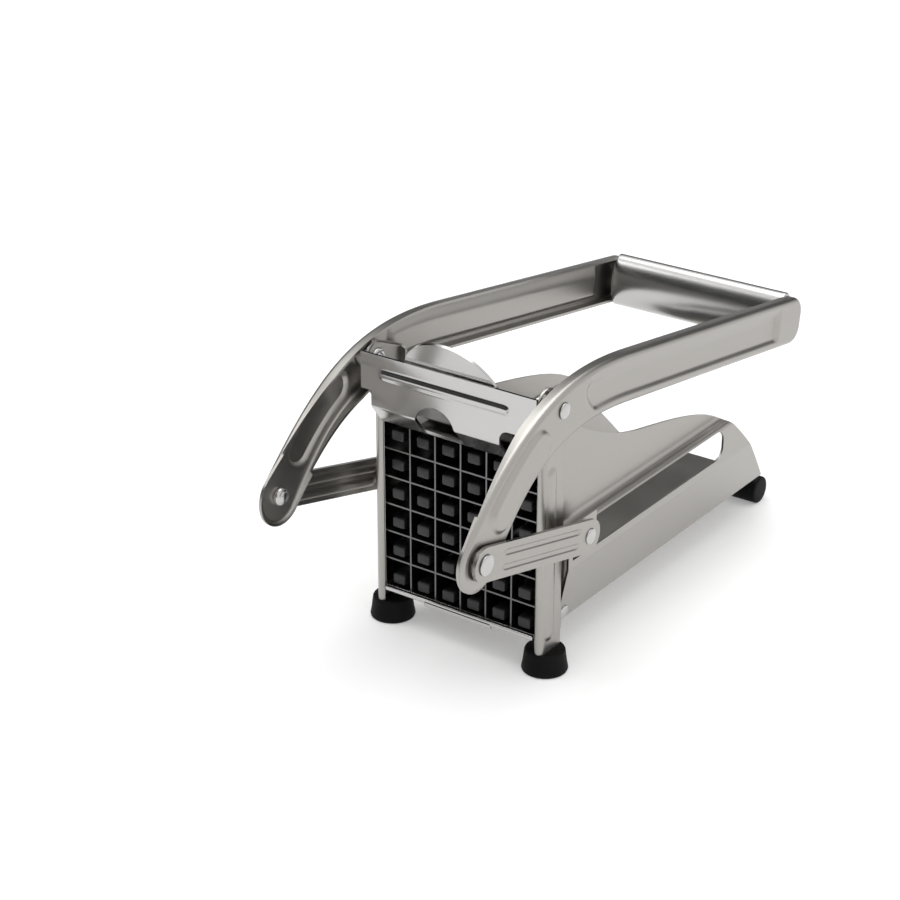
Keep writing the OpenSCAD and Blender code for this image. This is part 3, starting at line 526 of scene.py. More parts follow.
def stretched(tree, where, along, across):
    """Coordinates scaled along the brushing and across it."""
    return node(tree, "ShaderNodeMapping", Vector=where, Scale=(along, across, across)).outputs[0]


def put_out(group, source, out, shade, values, rough, lift):
    """Links a group's outputs: its colour between a darker and a lighter value, its roughness and
    its height."""
    own = source.outputs["Color"]
    dark, light = (node(group, "ShaderNodeHueSaturation", Color=own, Value=v).outputs[0] for v in values)
    group.links.new(mixed(group, shade, dark, light), out.inputs["Color"])
    group.links.new(rough, out.inputs["Roughness"])
    group.links.new(lift, out.inputs["Height"])


def brushed_group():
    """Brushing: long fine streaks along the first coordinate, and faint cloudy handling marks."""
    name = "brushed sheet"
    if name in bpy.data.node_groups:
        return bpy.data.node_groups[name]
    group, source, out = new_group(name, [
        ("Vector", "NodeSocketVector", None),
        ("Color", "NodeSocketColor", (0.6, 0.6, 0.6, 1)),
        ("Roughness", "NodeSocketFloat", 0.3),
        ("Grain", "NodeSocketFloat", 0.5),
        ("Clouds", "NodeSocketFloat", 0.5),
    ])
    where = source.outputs["Vector"]
    streaks = noise(group, stretched(group, where, 45, 1500), 1.0, 4.0, 0.6)
    hairs = noise(group, stretched(group, where, 160, 6000), 1.0, 2.0, 0.5)
    clouds = noise(group, where, 55.0, 3.0, 0.55)
    streak = maths(group, "MULTIPLY_ADD", streaks, 0.6, maths(group, "MULTIPLY", hairs, 0.4))
    lift = maths(group, "MULTIPLY", maths(group, "SUBTRACT", streak, 0.5), source.outputs["Grain"])
    cloud = maths(group, "MULTIPLY", maths(group, "SUBTRACT", clouds, 0.5), source.outputs["Clouds"])
    uneven = maths(group, "MULTIPLY_ADD", lift, 0.35, maths(group, "MULTIPLY", cloud, 0.16))
    rough = maths(group, "ADD", source.outputs["Roughness"], uneven)
    tone = maths(group, "MULTIPLY_ADD", cloud, 0.35, 0.5)
    shade = maths(group, "MULTIPLY_ADD", lift, 0.9, tone)
    put_out(group, source, out, shade, (0.82, 1.18), rough, lift)
    return group


def speckle_group():
    """Moulded surface: fine uneven grain and soft mottling."""
    name = "moulded surface"
    if name in bpy.data.node_groups:
        return bpy.data.node_groups[name]
    group, source, out = new_group(name, [
        ("Vector", "NodeSocketVector", None),
        ("Color", "NodeSocketColor", (0.1, 0.1, 0.1, 1)),
        ("Roughness", "NodeSocketFloat", 0.5),
        ("Grain", "NodeSocketFloat", 0.5),
    ])
    where = source.outputs["Vector"]
    grain = noise(group, where, 1800.0, 3.0, 0.6)
    patch = noise(group, where, 90.0, 3.0, 0.5)
    lift = maths(group, "MULTIPLY", maths(group, "SUBTRACT", grain, 0.5), source.outputs["Grain"])
    cloud = maths(group, "SUBTRACT", patch, 0.5)
    uneven = maths(group, "MULTIPLY_ADD", cloud, 0.2, maths(group, "MULTIPLY", lift, 0.3))
    rough = maths(group, "ADD", source.outputs["Roughness"], uneven)
    tone = maths(group, "MULTIPLY_ADD", cloud, 0.8, 0.5)
    shade = maths(group, "MULTIPLY_ADD", lift, 0.6, tone)
    put_out(group, source, out, shade, (0.7, 1.5), rough, lift)
    return group


def finish(
    name, group, tint, roughness, grain, clouds=None,
    metal=1.0, bump=0.02, turn=(0, 0, 0), sheet=False, shine=0.5,
):
    """A material around one of the two groups, read from the sheet's own grain or from the object."""
    found = bpy.data.materials.get(name)
    if found:
        return found
    material = bpy.data.materials.new(name)
    material.use_nodes = True
    tree = material.node_tree
    shader = tree.nodes["Principled BSDF"]
    if sheet:
        where = node(tree, "ShaderNodeAttribute", attribute_name="grain").outputs["Vector"]
    else:
        where = node(tree, "ShaderNodeTexCoord").outputs["Object"]
        where = node(tree, "ShaderNodeMapping", Vector=where, Rotation=turn).outputs[0]
    surface = tree.nodes.new("ShaderNodeGroup")
    surface.node_tree = group
    tree.links.new(where, surface.inputs["Vector"])
    surface.inputs["Color"].default_value = (*tint, 1)
    surface.inputs["Roughness"].default_value = roughness
    surface.inputs["Grain"].default_value = grain
    if clouds is not None:
        surface.inputs["Clouds"].default_value = clouds
    relief = node(tree, "ShaderNodeBump", Strength=0.35, Distance=bump * MM, Height=surface.outputs["Height"])
    tree.links.new(surface.outputs["Color"], shader.inputs["Base Color"])
    tree.links.new(surface.outputs["Roughness"], shader.inputs["Roughness"])
    tree.links.new(relief.outputs[0], shader.inputs["Normal"])
    shader.inputs["Metallic"].default_value = metal
    shader.inputs["Specular IOR Level"].default_value = shine
    return material


def finishes(context):
    """All finishes, made once."""
    tint = sizes(context, "finishes")
    steel, moulded = brushed_group(), speckle_group()
    across = (0, 0, math.radians(90))
    satin = dict(roughness=0.34, grain=0.5, clouds=0.5)
    return SimpleNamespace(
        satin=finish("satin_sheet", steel, tint.satin, **satin, sheet=True),
        satin_solid=finish("satin_plate", steel, tint.satin, **satin, turn=across),
        polished=finish(
            "polished_sheet", steel, tint.polished,
            roughness=0.17, grain=0.22, clouds=0.4, bump=0.01, sheet=True,
        ),
        # The blades' dark tint is painted shade, standing in for the shade inside the blade grid.
        blade=finish("painted_shade_blade_steel", steel, tint.blade, roughness=0.3, grain=0.3, clouds=0.4, bump=0.01),
        grip=finish("grip_steel", steel, tint.polished, roughness=0.24, grain=0.35, clouds=0.4, bump=0.01),
        rivet=finish("rivet_head", steel, tint.rivet, roughness=0.2, grain=0.3, clouds=0.6, bump=0.01),
        rubber=finish(
            "matt_rubber", moulded, tint.rubber, roughness=0.6, grain=0.6, metal=0.0, bump=0.06, shine=0.12
        ),
        plastic=finish(
            "moulded_plastic", moulded, tint.plastic, roughness=0.42, grain=0.4, metal=0.0, bump=0.04
        ),
    )


def dress(obj, material):
    """Puts a material on a piece or a CAD node."""
    obj.data.materials.clear()
    obj.data.materials.append(material)


# ---- Pieces ----


def trough_top(s):
    """The trough's top and rear edge, as a falling line of (Y, Z) points: two curves that meet at
    the waist, and a third one down the rear."""
    t = np.linspace(0, 1, 120)
    front, waist = np.array([s.front, s.wall_z]), np.array([s.waist_y, s.waist_z])
    shoulder, heel = np.array([s.shoulder_y, s.shoulder_z]), np.array([s.heel, s.floor_z])
    first, level, steep, last = (heading(-math.radians(fall)) for fall in (34.3, 10.7, 41.0, 49.2))
    pull = SimpleNamespace(front=20.6, to_waist=25.5, from_waist=34.6, shoulder=17.0, heel=27.4)
    return np.concatenate([
        cubic(front, front + pull.front * first, waist - pull.to_waist * level, waist, t[:-1]),
        cubic(waist, waist + pull.from_waist * level, shoulder - pull.shoulder * steep, shoulder, t[:-1]),
        cubic(shoulder, shoulder + pull.shoulder * steep, heel - pull.heel * last, heel, t),
    ])


def trough_section(s):
    """The trough's outer face in (X, Z), from the right wall's top down to the middle of the floor.
    A point that lies higher than the one before it is left out, so the line never rises."""
    half = [
        (s.wall_x, s.wall_z), (s.wall_x, s.band_top), (s.band_x, s.band_top), (s.band_x, s.slot_top),
        (s.band_x, s.slot_low), (s.band_x, s.band_low), (s.floor_x, s.floor_z), (0, s.floor_z),
    ]
    bends = (1, 2, 5, 6)
    line = [half[0]]
    for k in range(1, len(half) - 1):
        line.extend(softened(half[k - 1:k + 2], s.bend, 8)[1:-1] if k in bends else [half[k]])
    line = np.array([*line, half[-1]], float)
    rising = np.flatnonzero(np.diff(line[:, 1]) > 1e-6)
    return stepped(np.delete(line, rising + 1, 0), 0.9)


def trough_skin(s):
    """Folded trough: rows run round its section, columns from its front edge to the height's own
    place on the top and rear edge, with a slot in each band."""
    line = trough_section(s)
    line = np.concatenate([line, (line * [-1, 1])[-2::-1]])
    z = line[:, 1]
    top = trough_top(s)
    end = np.interp(-z, -top[:, 1], top[:, 0])
    in_slot = np.clip(np.minimum(s.slot_top - z, z - s.slot_low), 0, s.slot_r)
    slot_end = s.slot_end - s.slot_r + np.sqrt(s.slot_r**2 - (s.slot_r - in_slot) ** 2)
    slot_end = np.where((z <= s.slot_top) & (z >= s.slot_low), slot_end, s.slot_end - s.slot_r)
    band_end = np.interp(-s.band_top, -top[:, 1], top[:, 0])
    a, b, c = np.linspace(0, 1, 4)[:-1], np.linspace(0, 1, 71)[:-1], np.linspace(0, 1, 31)
    columns = np.concatenate([
        s.front + (s.slot_front - s.front) * np.broadcast_to(a, (len(z), len(a))),
        s.slot_front + (slot_end - s.slot_front)[:, None] * b,
        slot_end[:, None] + (end - slot_end)[:, None] * c,
    ], 1)
    plain = np.concatenate([
        s.front + (s.slot_front - s.front) * a,
        s.slot_front + (s.slot_end - s.slot_r - s.slot_front) * b,
        s.slot_end - s.slot_r + (band_end - s.slot_end + s.slot_r) * c,
    ])
    share = (plain - s.front) / (band_end - s.front)
    high = z > s.band_top
    columns[high] = s.front + (end[high] - s.front)[:, None] * share
    points = grid(line[:, :1], columns, line[:, 1:])
    keep = np.ones((len(z) - 1, columns.shape[1] - 1), bool)
    middle = (z[:-1] + z[1:]) / 2
    rows = (middle < s.slot_top) & (middle > s.slot_low) & (np.abs(line[:-1, 0]) > s.band_x - 0.5)
    keep[np.ix_(rows, np.arange(len(a), len(a) + len(b)))] = False
    return skin_of(points, facing=(0, 0, -1), keep=keep, grain=grid(columns, lengths(line)[:, None]))


def mouth_skin(s):
    """Sheet round the cassette's sides and bottom, as a strip bent to a U."""
    left, right = -s.mouth_x, s.mouth_x
    half = [(right, s.mouth_top), (right, s.mouth_low), (left, s.mouth_low), (left, s.mouth_top)]
    line = stepped(softened(half, s.bend, 8), 1.5)
    points = grid(line[:, :1], np.linspace(s.mouth_front, s.front + s.sheet, 12), line[:, 1:])
    return skin_of(points, facing=(0, 0, -1), grain=grid(points[..., 1], lengths(line)[:, None]))


def collar_skin(s):
    """Flat plate on each side between the mouth and the trough. Its outer edge follows the mouth
    down to the band, and from there the trough's section or the mouth, whichever is wider."""
    line = trough_section(s)
    low = line[(line[:, 1] < s.band_top - 0.3) & (line[:, 1] > s.floor_z + 0.1)][::-1]
    z = np.concatenate([[s.mouth_low + 0.5], low[:, 1], np.linspace(s.band_top + 0.2, s.mouth_top, 30)])
    below = z < s.band_top
    edge = np.where(below, np.interp(z, low[:, 1], low[:, 0]) - 0.25, 0)
    inner, rim = s.wall_x - 0.9, s.mouth_x - 0.2
    share = np.linspace(0, 1, 5)
    columns = np.concatenate([
        np.broadcast_to(inner + (rim - inner) * share[:-1], (len(z), 4)),
        rim + np.maximum(edge - rim, 0)[:, None] * share,
    ], 1)
    points = grid(columns, s.front, z[:, None])
    keep = np.ones((len(z) - 1, columns.shape[1] - 1), bool)
    keep[~(below[:-1] & below[1:] & (edge[:-1] > rim + 0.05)), 4:] = False
    return skin_of(points, facing=(0, -1, 0), keep=keep, grain=points[..., [2, 0]])


def post_skin(s):
    """Right post: rows run up it, columns from the rolled front edge's hidden end round that edge
    and across the side face, with a bead raised by a circular arc and rounded at both ends."""
    fold = 0.9
    z = spaced((s.low, s.neck, 140), (s.neck, s.shoulder, 60), (s.shoulder, s.shoulder + 6.9, 24))
    front = np.interp(z, [s.neck + 4, s.neck + 14], [s.front, s.high_front])
    rear = np.interp(z, [s.neck, s.neck + 8], [s.rear, s.high_rear])
    rise = np.clip((z - s.head_z) / s.head_r, 0, 1)
    front = np.where(z > s.head_z, s.head_y - s.head_r * np.sqrt(1 - rise**2), front)
    slope = np.interp(
        z, [s.shoulder, s.shoulder + 5.9, s.shoulder + 6.8], [s.high_rear, s.head_y + 3.4, s.head_y + 0.4]
    )
    rear = np.where(z > s.shoulder, slope, rear)
    rolled = 1 - smooth((z - s.neck - 2) / 3)
    radius = fold + (s.fold_r - fold) * rolled
    reach = math.radians(90) + math.radians(55) * rolled
    back = smooth((z - s.neck - 7) / 2) * (1 - smooth((z - s.shoulder + 1.5) / 1.5))
    rear_flange = fold * 0.5 + (s.rear_flange - fold * 0.5) * back
    y, depth = [], []
    for k in np.linspace(-1, 0, 20):
        y.append(front + radius * (1 + np.sin(reach * k)))
        depth.append(radius * (1 - np.cos(reach * k)))
    for k in np.linspace(0, 1, 34)[1:-1]:
        y.append(front + radius + (rear - front - radius - fold) * k)
        depth.append(0 * z)
    for turn in np.linspace(math.pi / 2, 0, 6):
        y.append(rear - fold * (1 - np.cos(turn)))
        depth.append(np.minimum(fold * (1 - math.sin(turn)), rear_flange))
    for k in np.linspace(0, 1, 4)[1:]:
        y.append(rear)
        depth.append(np.minimum(fold, rear_flange) + np.maximum(rear_flange - fold, 0) * k)
    y, depth = np.stack(y, 1), np.stack(depth, 1)
    bead_r = ((s.bead_w / 2) ** 2 + s.bead_h**2) / (2 * s.bead_h)
    half = s.bead_w / 2
    past = np.maximum(0, np.maximum(s.bead_low + half - z, z - s.bead_top + half))
    away = np.hypot(past[:, None], y - s.bead_y)
    bulge = np.sqrt(np.maximum(bead_r**2 - away**2, 0)) - (bead_r - s.bead_h)
    points = grid(s.x + np.maximum(bulge, 0) - depth, y, z[:, None])
    return skin_of(points, facing=(1, 0, 0), grain=grid(z[:, None], y - depth))


def cassette_skin(s):
    """Box round the blades: its two sides and bottom, as a strip bent to a U."""
    out = s.half + s.sheet
    line = stepped(softened([(out, s.half), (out, -out), (-out, -out), (-out, s.half)], 1.4, 6), 1.2)
    points = grid(line[:, :1], np.linspace(s.side_y, s.rear_y, 12), line[:, 1:])
    return skin_of(points, facing=(0, 0, -1), grain=grid(lengths(line)[:, None], points[..., 1]))


def bar_skin(half, low, high, ease):
    """Level bar along X with its long edges rounded and its ends drawn in."""
    low, high = np.array(low), np.array(high)
    turn = np.tile(np.linspace(0, math.pi / 2, 5), 4) + np.repeat(np.arange(4) * math.pi / 2, 5)
    hub = np.repeat(np.array([[1, 1], [-1, 1], [-1, -1], [1, -1]]), 5, 0)
    x, rings = [], []
    for at, inset in ((1.0, 99.0), (1.0, ease), (1 - 0.3 * ease / half, 0.3 * ease), (1 - ease / half, 0.0)):
        core = np.maximum((high - low) / 2 - max(inset, ease), 0)
        rings.append((low + high) / 2 + hub * core + max(0.0, ease - inset) * heading(turn))
        x.append(at * half)
    rings, x = np.array(rings + rings[::-1]), np.array(x + [-a for a in x[::-1]])
    points = np.concatenate([np.broadcast_to(x[:, None, None], rings.shape[:2] + (1,)), rings], -1)
    grain = np.stack([points[..., 0], points[..., 2]], -1)
    return skin_of(points, ring=True, grain=grain)


def flag_skin(s):
    """Top of the cassette and its pull plate in one bent sheet: rows follow the bends up, columns
    the plate's edges, the notch and the corner's cut. The bead is a smooth step to its middle line."""
    folds = [(s.rear_y, s.half), (s.lip_y, s.half), (s.flag_y, s.flag_bend), (s.flag_y, s.flag_top)]
    path = stepped(softened(folds, 2.0, 8), 0.6)
    cut_top = s.flag_shoulder - 1
    extra = np.concatenate([
        [s.half + s.sheet, s.flag_shoulder - s.notch_r, cut_top, s.flag_shoulder],
        s.flag_shoulder - s.notch_r * (1 - np.sin(np.linspace(0.8, 1.5, 12))),
    ])
    at = lengths(path)
    rising = path[:, 0] < s.lip_y + 0.5
    run = np.unique(np.round(np.concatenate([at, np.interp(extra, path[rising, 1], at[rising])]), 4))
    path = np.stack([np.interp(run, at, path[:, k]) for k in (0, 1)], 1)
    z = path[:, 1]
    level = z < s.half + s.sheet - 1e-3
    up = np.clip(z - (s.flag_shoulder - s.notch_r), 0, s.notch_r)
    notch = np.sqrt(np.maximum(s.notch_r**2 - up**2, 0)) * (~level)
    arc = np.clip(z - (cut_top - s.cut_r), 0, s.cut_r)
    cut = s.cut_x + s.cut_r - np.sqrt(np.maximum(s.cut_r**2 - arc**2, 0))
    wing = np.where(level, np.where(path[:, 0] < s.side_y, s.flag_low_half, s.half + s.sheet), s.flag_half)
    stops = [-wing, -s.flag_low_half + 0 * z, s.notch_x - notch, s.notch_x + notch, cut, wing]
    counts = [7, 40, 22, 40, 22]
    columns = [
        a[:, None] + (b - a)[:, None] * np.linspace(0, 1, n + 1)[:-1]
        for a, b, n in zip(stops, stops[1:], counts)
    ]
    columns = np.concatenate([*columns, wing[:, None]], 1)
    first = np.cumsum([0, *counts])
    middle = (z[:-1] + z[1:]) / 2
    keep = np.ones((len(z) - 1, columns.shape[1] - 1), bool)
    for part, top in ((0, s.flag_shoulder), (2, s.flag_shoulder), (4, cut_top)):
        keep[np.ix_(~level[1:] & (middle < top), np.arange(first[part], first[part + 1]))] = False
    reach = s.bead_w / 2
    beside = np.maximum(0, np.maximum(s.bead_left + reach - columns, columns - s.bead_right + reach))
    far = np.hypot(beside, z[:, None] - s.bead_z)
    lift = s.bead_h * smooth((reach - far) / 1.9)
    points = grid(columns, path[:, :1] - lift, z[:, None])
    return skin_of(points, facing=(0, -1, 0), keep=keep, grain=grid(columns, run[:, None]))


def arm_rim(s):
    """An arm's middle line and outline. For each point of the outline: its place, its place on the
    middle line, its distance along the arm, and how far across the arm it lies."""
    crank, straight = np.array([s.crank_y, s.crank_z]), np.array([s.straight_y, s.straight_z])
    way = heading(-s.fall)
    t = np.linspace(0, 1, 170)
    bent = cubic(crank, crank + s.first * heading(s.rise), straight - s.last * way, straight, t)
    flat = straight + np.linspace(0, s.straight_len - s.corner_r, 190)[1:, None] * way
    middle = np.concatenate([bent, flat])
    run = lengths(middle)
    across = left_of(np.gradient(middle, run, axis=0))
    across /= np.linalg.norm(across, axis=1)[:, None]
    reach, swell = np.concatenate([t, np.ones(len(flat))]), 0.4
    half = s.width / 2 + (s.end_r - s.width / 2) * (1 - np.minimum(1, reach / swell)) ** 2
    end, side = middle[-1], left_of(way)
    inset = s.width / 2 - s.corner_r
    turn = np.linspace(math.pi / 2, 0, 14)[1:] - s.fall
    top = end + inset * side + s.corner_r * heading(turn)
    low = end - inset * side + s.corner_r * heading(-turn[::-1] - 2 * s.fall)
    cap_turn = s.rise - np.linspace(math.pi / 2, 3 * math.pi / 2, 60)[1:-1]
    cap = crank + s.end_r * heading(cap_turn)
    rear = np.concatenate([top, np.linspace(top[-1], low[0], 8)[1:-1], low])
    side_step = across * half[:, None]
    rim = np.concatenate([middle + side_step, rear, (middle - side_step)[::-1], cap])
    tail_end, crank_end = np.repeat(middle[-1:], len(rear), 0), np.repeat(middle[:1], len(cap), 0)
    spine = np.concatenate([middle, tail_end, middle[::-1], crank_end])
    along = np.concatenate([run, np.full(len(rear), run[-1]), run[::-1], np.zeros(len(cap))])
    sideways = np.concatenate([half, np.zeros(len(rear)), -half[::-1], np.zeros(len(cap))])
    panel_from, panel_to, nose = np.interp([0.168, 0.46, 0.757], t, run[:len(t)])
    return SimpleNamespace(
        rim=rim, spine=spine, along=along, sideways=sideways, raised=(panel_from, panel_to), nose=nose,
        tail=run[-1] + s.corner_r - s.recess_back,
    )


def arm_press(s, line, u, v):
    """Height of an arm's outer face over its sheet: a raised panel with round ends near the lower
    pin, and a long recess whose walls slope, widest at its nose and low along its lower side."""
    away = np.hypot(np.maximum(0, np.maximum(line.raised[0] - u, u - line.raised[1])), v)
    panel = smooth((s.panel_half + 0.4 - away) / 2.2)
    high = s.width / 2 - s.recess_top
    low = high - s.recess_h
    nose = line.nose + 5.5 * ((v - 2.5) / 9) ** 2
    walls = smooth((high - v + 0.4) / 7.0) * smooth((v - low + 0.6) / 2.2)
    ends = smooth((u - nose) / 4.6) * smooth((line.tail + 1 - u) / 3.0)
    return s.press * (panel - walls * ends)


def arm_skin(s):
    """Right arm: rings drawn in from the edge of the turned-in flange, round its fold, to the arm's
    middle line. The flange gets shallower towards the lower end."""
    line = arm_rim(s)
    ahead = np.roll(line.rim, -1, 0) - np.roll(line.rim, 1, 0)
    outward = left_of(ahead / np.linalg.norm(ahead, axis=1)[:, None])
    crank = np.array([s.crank_y, s.crank_z])
    from_crank = (line.rim - crank) @ heading(s.rise)
    depth = s.sheet + np.clip((from_crank - 2) / 50, 0, 1) * (s.flange - s.sheet)
    start = np.arcsin(np.clip(1 - depth / s.fold_r, 0, 1))
    inner = np.minimum(depth, s.fold_r)
    rings = []
    for k in np.linspace(0, 1, 4)[:-1]:
        rings.append((depth + (inner - depth) * k, np.zeros_like(depth)))
    for k in np.linspace(0, 1, 9):
        turn = start + (math.pi / 2 - start) * k
        rings.append((s.fold_r * (1 - np.sin(turn)), s.fold_r * (1 - np.cos(turn))))
    points, grain = [], []
    for q, d in rings:
        flat = line.rim - outward * d[:, None]
        points.append(np.column_stack([s.out - q, flat]))
        grain.append(np.column_stack([line.along, line.sideways + np.sign(line.sideways) * (q - d)]))
    edge = line.rim - outward * s.fold_r
    sideways = line.sideways - np.sign(line.sideways) * s.fold_r
    for k in np.linspace(0, 1, 37)[1:]:
        flat = edge + (line.spine - edge) * k
        v = sideways * (1 - k)
        lift = arm_press(s, line, line.along, v)
        points.append(np.column_stack([s.out + lift, flat]))
        grain.append(np.column_stack([line.along, v]))
    return skin_of(np.array(points), facing=(1, 0, 0), ring=True, grain=np.array(grain))


def grip_skin(s):
    """Oval tube between the arms: cross sections across X, drawn in at the ends by a quarter round."""
    way = heading(-s.fall)
    middle = np.array([s.straight_y, s.straight_z]) + (s.straight_len - s.grip_inset) * way
    inner = s.out - s.flange + 0.4
    ease = 1.0
    turn = np.linspace(0, math.pi / 2, 7)
    end_x, end_short = inner - ease * (1 - np.cos(turn)), ease * (1 - np.sin(turn))
    level = np.linspace(-inner + ease, inner - ease, 60)[1:-1]
    x = np.concatenate([-end_x, level, end_x[::-1]])
    short = np.concatenate([end_short, 0 * level, end_short[::-1]])
    x, short = np.concatenate([x[:1], x, x[-1:]]), np.concatenate([[99.0], short, [99.0]])
    k = np.arange(120) * 2 * math.pi / 120
    a, b = (np.maximum(half - short, 0)[:, None, None] for half in (s.grip_a, s.grip_b))
    flat = middle + a * np.cos(k)[:, None] * way + b * np.sin(k)[:, None] * left_of(way)
    points = np.concatenate([np.broadcast_to(x[:, None, None], flat.shape[:2] + (1,)), flat], -1)
    return skin_of(points, ring=True)


def link_skin(s, face, a, b):
    """Right link's outer face: rings drawn in from its round-ended outline to its middle line, with
    two long round-ended grooves pressed in."""
    a, b = np.array(a), np.array(b)
    way, span = unit(b - a), np.linalg.norm(b - a)
    r = s.width / 2
    u = np.linspace(0, span, 90)
    ends = np.linspace(math.pi / 2, -math.pi / 2, 34)[1:-1]
    rim = np.concatenate([
        np.column_stack([u, 0 * u + r]), [span, 0] + r * heading(ends),
        np.column_stack([u[::-1], 0 * u - r]), r * heading(ends + math.pi),
    ])
    level = np.column_stack([u, 0 * u])
    spine = np.concatenate([level, np.tile([span, 0], (len(ends), 1)), level[::-1], np.zeros((len(ends), 2))])
    k = np.linspace(0, 1, 41)[:, None, None]
    flat = rim + (spine - rim) * k
    away = np.hypot(
        np.maximum(0, np.maximum(s.groove_from - flat[..., 0], flat[..., 0] - span + s.groove_to)),
        np.abs(flat[..., 1]) - s.groove_gap,
    )
    sink = s.groove_d * smooth((s.groove_w / 2 + 0.2 - away) / 0.8)
    yz = a + flat[..., :1] * way + flat[..., 1:] * left_of(way)
    points = np.concatenate([(face - sink)[..., None], yz], -1)
    return skin_of(points, facing=(1, 0, 0), ring=True, grain=flat)


def hood_skin(s):
    """Hood in one bent sheet: up the carriage, forward as a shelf, and up again, leaning forward,
    to a half-round top."""
    lean = np.array([-math.sin(s.hood_lean), math.cos(s.hood_lean)])
    foot = np.array([s.hood_foot, s.shelf_z])
    centre = foot + s.dome_at * lean
    path = stepped(softened([(s.plate_y, s.tab_low), (s.plate_y, s.shelf_z), foot, centre], s.bend, 8), 0.8)
    k = np.linspace(0, math.pi / 2, 40)[1:]
    path = np.concatenate([path, centre + s.hood_half * np.sin(k)[:, None] * lean])
    half = np.concatenate([np.full(len(path) - len(k), s.hood_half), s.hood_half * np.cos(k)])
    x = half[:, None] * np.linspace(-1, 1, 61)
    points = grid(x, path[:, :1], path[:, 1:])
    return skin_of(points, facing=(0, -1, 0), grain=grid(x, lengths(path)[:, None]))


def stub_skin(s, x, z):
    """One stub: an oblong with rounded corners that tapers to its tip, the tip's edge rounded."""
    corner = np.repeat(np.arange(4), 4) * math.pi / 2 + np.tile(np.linspace(0, math.pi / 2, 4), 4)
    quarter = np.repeat(np.arange(4), 4) * math.pi / 2 + math.pi / 4
    rows = [
        (s.stub_len, 0.0, 0.6), (8.0, 0.0, 0.6), (0.45, 0.0, 0.7),
        (0.12, 0.13, 0.7), (0.0, 0.45, 0.7), (0.0, 99.0, 0.0),
    ]
    points = []
    for y, inset, r in rows:
        tip, root = np.array([s.stub_tip, s.tip_h]), np.array([s.stub_root, s.root_h])
        half = np.maximum(0.0, (tip + (root - tip) * y / s.stub_len) / 2 - inset)
        r = min(r, half.min())
        xz = (half - r) * math.sqrt(2) * heading(quarter) + r * heading(corner)
        points.append(np.column_stack([x + xz[:, 0], np.full(16, y), z + xz[:, 1]]))
    return skin_of(np.array(points), ring=True, facing=(0, -1, 0))


def dome_profile(r, h):
    """Profile of a rivet head: a short wall, a rounded shoulder and a low dome."""
    turn = np.linspace(0, math.pi / 2, 12)
    rows = zip(r * np.cos(turn) ** 0.8, h * (0.3 + 0.7 * np.sin(turn)))
    return np.array([(0, 0), (r, 0), (r, h * 0.3), *rows])


class Builder:
    """What the operators below share."""

    bl_options = {"REGISTER", "UNDO"}


class CUTTER_OT_trough(Builder, bpy.types.Operator):
    """Builds the folded trough with its mouth and collar"""

    bl_idname = "cutter.trough"
    bl_label = "Trough"

    def execute(self, context):
        s = sizes(context, "body")
        body = ("frame", "satin_steel", finishes(context).satin, "body_shell")
        make("trough_sheet", trough_skin(s), *body, sheet=s.sheet, bevel=0.2)
        make("mouth_sheet", mouth_skin(s), *body, sheet=s.sheet, bevel=0.2)
        side = collar_skin(s)
        make("mouth_collar", joined(side, mirrored(side)), *body, sheet=s.sheet, bevel=0.1)
        return {"FINISHED"}


class CUTTER_OT_cassette(Builder, bpy.types.Operator):
    """Builds the blade cassette with its pull plate"""

    bl_idname = "cutter.cassette"
    bl_label = "Blade cassette"

    def execute(self, context):
        s, steel = sizes(context, "cassette"), finishes(context)
        box = ("frame", "polished_steel", steel.polished, "cassette_frame")
        make("cassette_box", cassette_skin(s), *box, sheet=s.sheet, bevel=0.2)
        low = -s.half - s.lip
        lip = bar_skin(s.flag_low_half, (s.lip_y, low), (s.side_y + 0.3, -s.half), 0.5)
        tab = bar_skin(s.tab_half, (s.lip_y, low - s.tab_drop), (s.lip_y + s.sheet, -s.half - 0.6), 0.4)
        make("cassette_lip", joined(lip, tab), *box)
        make("pull_plate", flag_skin(s), *box, sheet=s.sheet, bevel=0.25)
        # The blades get the darkened steel, whose tint is painted shade inside the grid.
        for name in ("blades_upright", "blades_level"):
            dress(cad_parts[name], steel.blade)
        return {"FINISHED"}


class CUTTER_OT_posts(Builder, bpy.types.Operator):
    """Builds the two posts"""

    bl_idname = "cutter.posts"
    bl_label = "Posts"

    def execute(self, context):
        s, steel = sizes(context, "posts"), finishes(context).satin
        hub = sizes(context, "handle")
        s.head_y, s.head_z = hub.pivot_y, hub.pivot_z
        post = post_skin(s)
        for side, skin in (("right", post), ("left", mirrored(post))):
            owner = ("frame", "satin_steel", steel, f"post_{side}")
            make(f"{side}_post", skin, *owner, sheet=s.sheet, bevel=0.15)
        return {"FINISHED"}


class CUTTER_OT_arms(Builder, bpy.types.Operator):
    """Builds the two arms and the grip"""

    bl_idname = "cutter.arms"
    bl_label = "Arms and grip"

    def execute(self, context):
        s, steel = sizes(context, "handle"), finishes(context)
        arm = arm_skin(s)
        for side, skin in (("right", arm), ("left", mirrored(arm))):
            owner = ("handle", "satin_steel", steel.satin, f"arm_{side}")
            make(f"{side}_arm", skin, *owner, sheet=s.sheet, bevel=0.2)
        make("grip", grip_skin(s), "handle", "polished_steel", steel.grip, "grip_tube")
        return {"FINISHED"}


class CUTTER_OT_links(Builder, bpy.types.Operator):
    """Builds the two links"""

    bl_idname = "cutter.links"
    bl_label = "Links"

    def execute(self, context):
        s, hub, steel = sizes(context, "links"), sizes(context, "handle"), finishes(context)
        face = corners("link_right")[1][0]
        link = link_skin(s, face, (hub.crank_y, hub.crank_z), (s.ear_y, s.ear_z))
        for side, skin in (("right", link), ("left", mirrored(link))):
            owner = (f"link_{side}", "satin_steel", steel.satin, f"link_{side}")
            make(f"{side}_link", skin, *owner, sheet=s.sheet, bevel=0.3)
        return {"FINISHED"}


